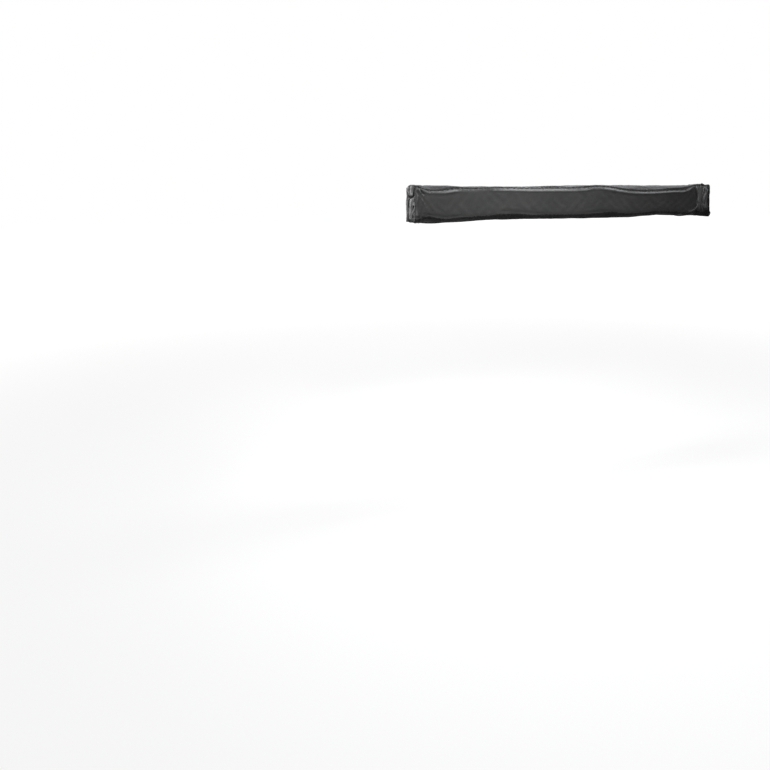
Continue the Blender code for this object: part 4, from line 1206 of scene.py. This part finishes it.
def zipSlider():
    low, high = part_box("zip_slider")
    middleY = (low.y + high.y) / 2
    length, width, height = zipper["bodySize"]
    bodyEnd = low.x + length
    body = openBox(((low.x + bodyEnd) / 2, middleY, low.z + 0.0022), (bodyEnd - low.x, width, height))
    selectFaces(body, lambda place, normal: normal.x > 0.9)
    bpy.ops.transform.resize(value=(1, 0.62, 1))
    bevelAll(0.0007, 2)
    # The bridge that holds the pull
    bridge = openBox((low.x + 0.0065, middleY, low.z + 0.0041), zipper["bridgeSize"])
    selectFaces(bridge, lambda place, normal: normal.z > 0.9)
    bpy.ops.mesh.inset(thickness=0.0005, depth=0.0004)
    bevelAll(0.0003, 2)
    # The pull tab, waisted and with a raised rim
    tabStart = low.x + zipper["tabStart"]
    size = (high.x - tabStart, *zipper["tabSize"])
    tab = openBox(((tabStart + high.x) / 2, middleY, low.z + 0.0036), size)
    bpy.ops.mesh.subdivide(number_cuts=5)
    mesh = bmesh.from_edit_mesh(tab.data)
    for point in mesh.verts:
        t = (point.co.x - tabStart) / (high.x - tabStart)
        waist = 1 - 0.34 * math.exp(-((t - 0.30) / 0.16) ** 2)
        point.co.y = middleY + (point.co.y - middleY) * waist
    bmesh.update_edit_mesh(tab.data)
    selectFaces(tab, lambda place, normal: abs(normal.z) > 0.9 and place.x > tabStart + 0.010)
    bpy.ops.mesh.inset(thickness=0.0008, depth=-0.0003)
    closeEdit()
    slider = joined([body, bridge, tab], "zipSlider")
    finishHard(slider, "castBlack", "zip_slider", "zip_slider")


zipLow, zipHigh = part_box("zip_strip")
for makePart in (zipTape, zipTeeth):
    makePart(zipLow, zipHigh, (zipLow.y + zipHigh.y) / 2)
zipSlider()
print("zip closed")

# Rail, tubes and the small hard pieces
def bodyBefore(number):
    return "mount" if number == 1 else f"arm_{number - 1}"


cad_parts["backing_rail"].material_slots[0].material = finishes["railAluminium"]
for node, look, bevel in (
    ("front_end_cap", "mouldedPlastic", 0.0008),
    ("rear_end_cap", "mouldedPlastic", 0.0008),
    ("hub_bracket", "castBlack", 0.0010),
    ("front_bracket", "bracketBlack", 0.0009),
    ("rear_bracket", "bracketBlack", 0.0009),
    ("front_bracket_bolt", "zincSteel", 0.0004),
    ("rear_bracket_bolt", "zincSteel", 0.0004),
):
    dressedNode(node, look, "mount", bevel)
for number in range(1, 5):
    arm, leg = f"arm_{number}", f"leg_{number}"
    dressedNode(arm + "_pin", "zincSteel", bodyBefore(number), 0.0005)
    dressedNode(arm + "_knuckle", "castBlack", arm, 0.0008)
    dressedNode(arm + "_tip", "castBlack", arm, 0.0008)
    dressedNode(leg + "_pin", "zincSteel", arm, 0.0003)
    dressedNode(leg + "_collar", "mouldedPlastic", leg, 0.0007)
    dressedNode(leg + "_knob", "mouldedPlastic", leg + "_clamp", 0.0008)
    for node in (arm + "_tube", leg + "_outer", leg + "_inner"):
        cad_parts[node].material_slots[0].material = finishes["tubeAluminium"]
print("hard pieces dressed")

# Ribbed rubber feet
foot = {"ribs": 4, "ribDeep": 0.0012, "edge": 0.002, "wall": 0.0036, "floor": 0.010}


def ribbedFoot(number):
    low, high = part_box(f"leg_{number}_foot")
    radius = (high.z - low.z) / 2
    length = high.x - low.x
    bore = radius - foot["wall"]
    edge = foot["edge"]
    profile = [(0.0, 0.0), (bore * 0.6, 0.0), (radius - edge, 0.0), (radius, edge)]
    step = (length - 2 * edge) / foot["ribs"]
    for i in range(foot["ribs"]):
        start = edge + i * step
        profile += [(radius, start + 0.55 * step), (radius - foot["ribDeep"], start + 0.62 * step),
                    (radius - foot["ribDeep"], start + 0.93 * step), (radius, start + step)]
    profile[-1] = (radius - edge, length)
    profile += [(bore, length), (bore, foot["floor"]), (0.0, foot["floor"])]
    piece = spunPiece(f"leg{number}Foot", profile, 28)
    place = Vector((high.x, (low.y + high.y) / 2, (low.z + high.z) / 2))
    piece.data.transform(Matrix.Translation(place) @ Matrix.Rotation(math.radians(-90), 4, "Y"))
    finishHard(piece, "footRubber", f"leg_{number}_lower", f"leg_{number}_foot")


for number in range(1, 5):
    ribbedFoot(number)

# Screws and rivets
fasteners = {
    "screw": {"radius": 0.0042, "height": 0.0022, "socket": True},
    "rivet": {"radius": 0.0028, "height": 0.0011, "socket": False},
}


def domeHead(name, radius, height, socket):
    angles = [math.pi / 2 * i / 5 for i in range(1, 6)]
    profile = [(0.0, height)] + [(radius * math.sin(a), height * math.cos(a)) for a in angles]
    profile += [(radius, -0.0005), (0.0, -0.0005)]
    head = spunPiece(name, profile, 24)
    if socket:
        bpy.ops.mesh.primitive_cylinder_add(vertices=6, radius=radius * 0.45, depth=height * 1.2,
                                            location=(0, 0, height))
        cutter = bpy.context.object
        modify(head, "BOOLEAN", operation="DIFFERENCE", solver="EXACT", object=cutter)
        bpy.data.objects.remove(cutter)
    smooth(head, 35)
    return head


# Copies of a head, joined, from each one's place and turn
def placeHeads(name, head, body, spots):
    copies = []
    for i, (place, turn) in enumerate(spots):
        twin = addObject(name + str(i), head.data.copy())
        twin.data.transform(Matrix.Translation(place) @ turn)
        copies.append(twin)
    piece = joined(copies, name)
    markEdges(piece)
    dress(piece, "zincSteel", body)


def turned(degrees, axis):
    return Matrix.Rotation(math.radians(degrees), 4, axis)


screw = domeHead("screwHead", **fasteners["screw"])
rivet = domeHead("rivetHead", **fasteners["rivet"])
toFront, toBack = turned(90, "X"), turned(-90, "X")  # heads on faces that look to -Y and +Y
for side, word in bothEnds:
    low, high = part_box(f"{word}_end_cap")
    face = low.x if side < 0 else high.x
    spots = [((face, (low.y + high.y) / 2, z), turned(90 * side, "Y")) for z in (-0.056, 0.056)]
    placeHeads(word + "CapScrews", screw, "mount", spots)
low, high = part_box("hub_bracket")
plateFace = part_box("backing_rail")[0].y - 0.0083
spots = [((x, plateFace, z), toFront) for x in (low.x + 0.014, low.x + 0.075)
         for z in (high.z - 0.012, low.z + 0.011)]
placeHeads("hubScrews", screw, "mount", spots)
for number in range(1, 5):
    low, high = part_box(f"arm_{number}_tube")
    middleZ = (low.z + high.z) / 2
    spots = []
    for x in (low.x + 0.010, low.x + 0.028, high.x - 0.010, high.x - 0.028):
        spots += [((x, low.y, middleZ), toFront), ((x, high.y, middleZ), toBack)]
    placeHeads(f"arm{number}Rivets", rivet, f"arm_{number}", spots)
for used in (screw, rivet):
    bpy.data.objects.remove(used)
print("fasteners set")

# Canopies: pleated fans between neighbouring arms, built folded
canopy = {
    "pleats": 20,
    "high": 0.042,  # of a pleat at the arm's tip
    "along": 34,
    "perFace": 4,
    "base": 0.003,
    "sag": 0.0015,
    "open": 67.5,  # degrees between neighbouring arms once they are out
    "scallop": 0.035,  # how far the outer edge draws in past a straight line from tip to tip
    "flat": (1.90, 1.75),
    "area": 1.45,
}


# The share that ease would turn into this one
def easedBack(share):
    return 0.5 - np.sin(np.arcsin(1 - 2 * share) / 3)


def pleatedCanopy(number):
    low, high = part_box(f"canopy_panel_{number}")
    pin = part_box(f"arm_{number}_pin")
    hub = (pin[0].x + pin[1].x) / 2
    faces = canopy["pleats"] * 2
    count = faces * canopy["perFace"] + 1
    share = np.linspace(0, 1, count)
    saw = 1 - np.abs(((share * canopy["pleats"]) % 1.0) * 2 - 1)
    saw = 0.45 * saw + 0.55 * (0.5 - 0.5 * np.cos(math.pi * saw))
    # Once the arms are out, the outer edge runs nearly straight from tip to tip
    half = math.radians(canopy["open"] / 2)
    edge = math.cos(half) / np.cos((2 * share - 1) * half) - canopy["scallop"] * np.sin(math.pi * share)
    along = np.linspace(0, 1, canopy["along"])[:, None]
    x = high.x + (hub - (hub - low.x) * edge[None] - high.x) * along
    # The taped edges reach the rail or the neighbouring panel, and come down onto the arms
    start = np.clip(1 - share * faces, 0, 1)[None]
    down = np.clip(1 - (1 - share) * faces, 0, 1)[None]
    if number == 1:
        reachIn = (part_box("backing_rail")[0].y - 0.0006 - high.y) * (1 - ease(0.78, 0.822, x)) * start
    else:
        reachIn = 0.0027 * start
        down = start + down
    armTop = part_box(f"arm_{number}_tube")[1].z + 0.0005
    reach = (hub - x) / (hub - low.x)
    droop = canopy["sag"] * np.sin(math.pi * along)
    grid = np.zeros((canopy["along"], count, 3))
    grid[:, :, 0] = x
    grid[:, :, 1] = (high.y + (low.y - high.y) * easedBack(share))[None] + reachIn
    grid[:, :, 2] = low.z + canopy["base"] + saw[None] * canopy["high"] * reach + droop * 0.5
    grid[:, :, 2] -= (grid[:, :, 2] - armTop) * down
    over = share * faces * canopy["high"]
    mapAt = np.stack(np.broadcast_arrays(grid[:, :, 0], over[None]), axis=2)
    # Painted highlight on the pleats' crests and painted shade in their hollows
    folded = np.broadcast_to((saw * 2 - 1)[None] * 0.6, grid.shape[:2])
    piece = clothPiece(f"canopy{number}", grid, mapAt, folded)
    smooth(piece)
    paint(piece, "canopy", "tape")
    for face in piece.data.polygons:
        if face.index % (count - 1) in (0, count - 2):
            face.material_index = 1
    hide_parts(f"canopy_panel_{number}")
    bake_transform(piece)


for number in range(1, 5):
    pleatedCanopy(number)
print("canopies pleated")

# Floor, light and background
studio = {
    "floorZ": -1.705,  # where the feet stand once the arms are out
    "floorSize": 60.0,
    "floorGlow": (0.84, 0.99),  # near and far, seen by the camera and in gloss only
    "floorNear": (3.5, 9.0),
    "floorGloss": 0.30,  # near glow as glossy surfaces see it
    "world": 0.12,
}
lamps = {
    "endLight": {"place": (-3.1, 0.75, 0.8), "aim": (-0.95, -0.1, 0.0), "size": (0.45, 0.6), "power": 18.5,
                 "spread": 100},
    "frontLight": {"place": (-1.10, -3.35, 1.9), "aim": (-0.40, -0.1, 0.0), "size": (0.8, 0.7),
                   "power": 14.6, "spread": 42},
    "topLight": {"place": (0.0, -0.12, 1.25), "aim": (0.0, -0.12, 0.0), "size": (1.3, 0.40), "power": 62,
                 "spread": 150, "colour": (0.95, 0.97, 1.0)},
}


def addFloor():
    bpy.ops.mesh.primitive_grid_add(x_subdivisions=8, y_subdivisions=8, size=studio["floorSize"],
                                    location=(0, 0, studio["floorZ"]))
    floor = bpy.context.object
    floor.name = "studioFloor"
    settle(floor)
    finish = Finish("paleFloor", Base_Color=grey(0.18), Roughness=0.85)
    mottle = finish.noise(finish.objectPlace(), 1.2, 3.0)
    finish.set("Base Color", finish.blend(mottle, grey(0.175), grey(0.185)))
    shown, gloss = finish.raysSeen()
    away = finish.add("ShaderNodeVectorMath", {"operation": "LENGTH"}, {0: finish.objectPlace()}, "Value")
    near, far = studio["floorGlow"]
    close = finish.blend(gloss, grey(near), grey(studio["floorGloss"]))
    glow = finish.blend(away.between(*studio["floorNear"]), close, grey(far))
    finish.set("Emission Color", finish.blend(shown, grey(0), glow))
    finish.set("Emission Strength", 1.0)
    floor.data.materials.append(finish.material)


def addWorld():
    world = bpy.data.worlds.new("studio")
    world.use_nodes = True
    bpy.context.scene.world = world
    sky = Nodes(world.node_tree)
    values = {"Value": sky.raysSeen()[0], "To Min": studio["world"], "To Max": 1.0}
    strength = sky.add("ShaderNodeMapRange", values=values)
    background = sky.tree.nodes["Background"].inputs
    sky.plug(background["Strength"], strength)
    sky.plug(background["Color"], grey(1.0))


def addLight(name, lamp):
    light = bpy.data.lights.new(name, "AREA")
    light.shape = "RECTANGLE"
    light.size, light.size_y = lamp["size"]
    light.energy = lamp["power"]
    light.spread = math.radians(lamp["spread"])
    light.color = lamp.get("colour", (1.0, 1.0, 1.0))
    holder = addObject(name, light)
    holder.location = lamp["place"]
    holder.rotation_euler = (Vector(lamp["aim"]) - Vector(lamp["place"])).to_track_quat("-Z", "Y").to_euler()


addFloor()
addWorld()
for name, lamp in lamps.items():
    addLight(name, lamp)
bpy.context.scene.view_settings.view_transform = "Standard"
print("studio lit")
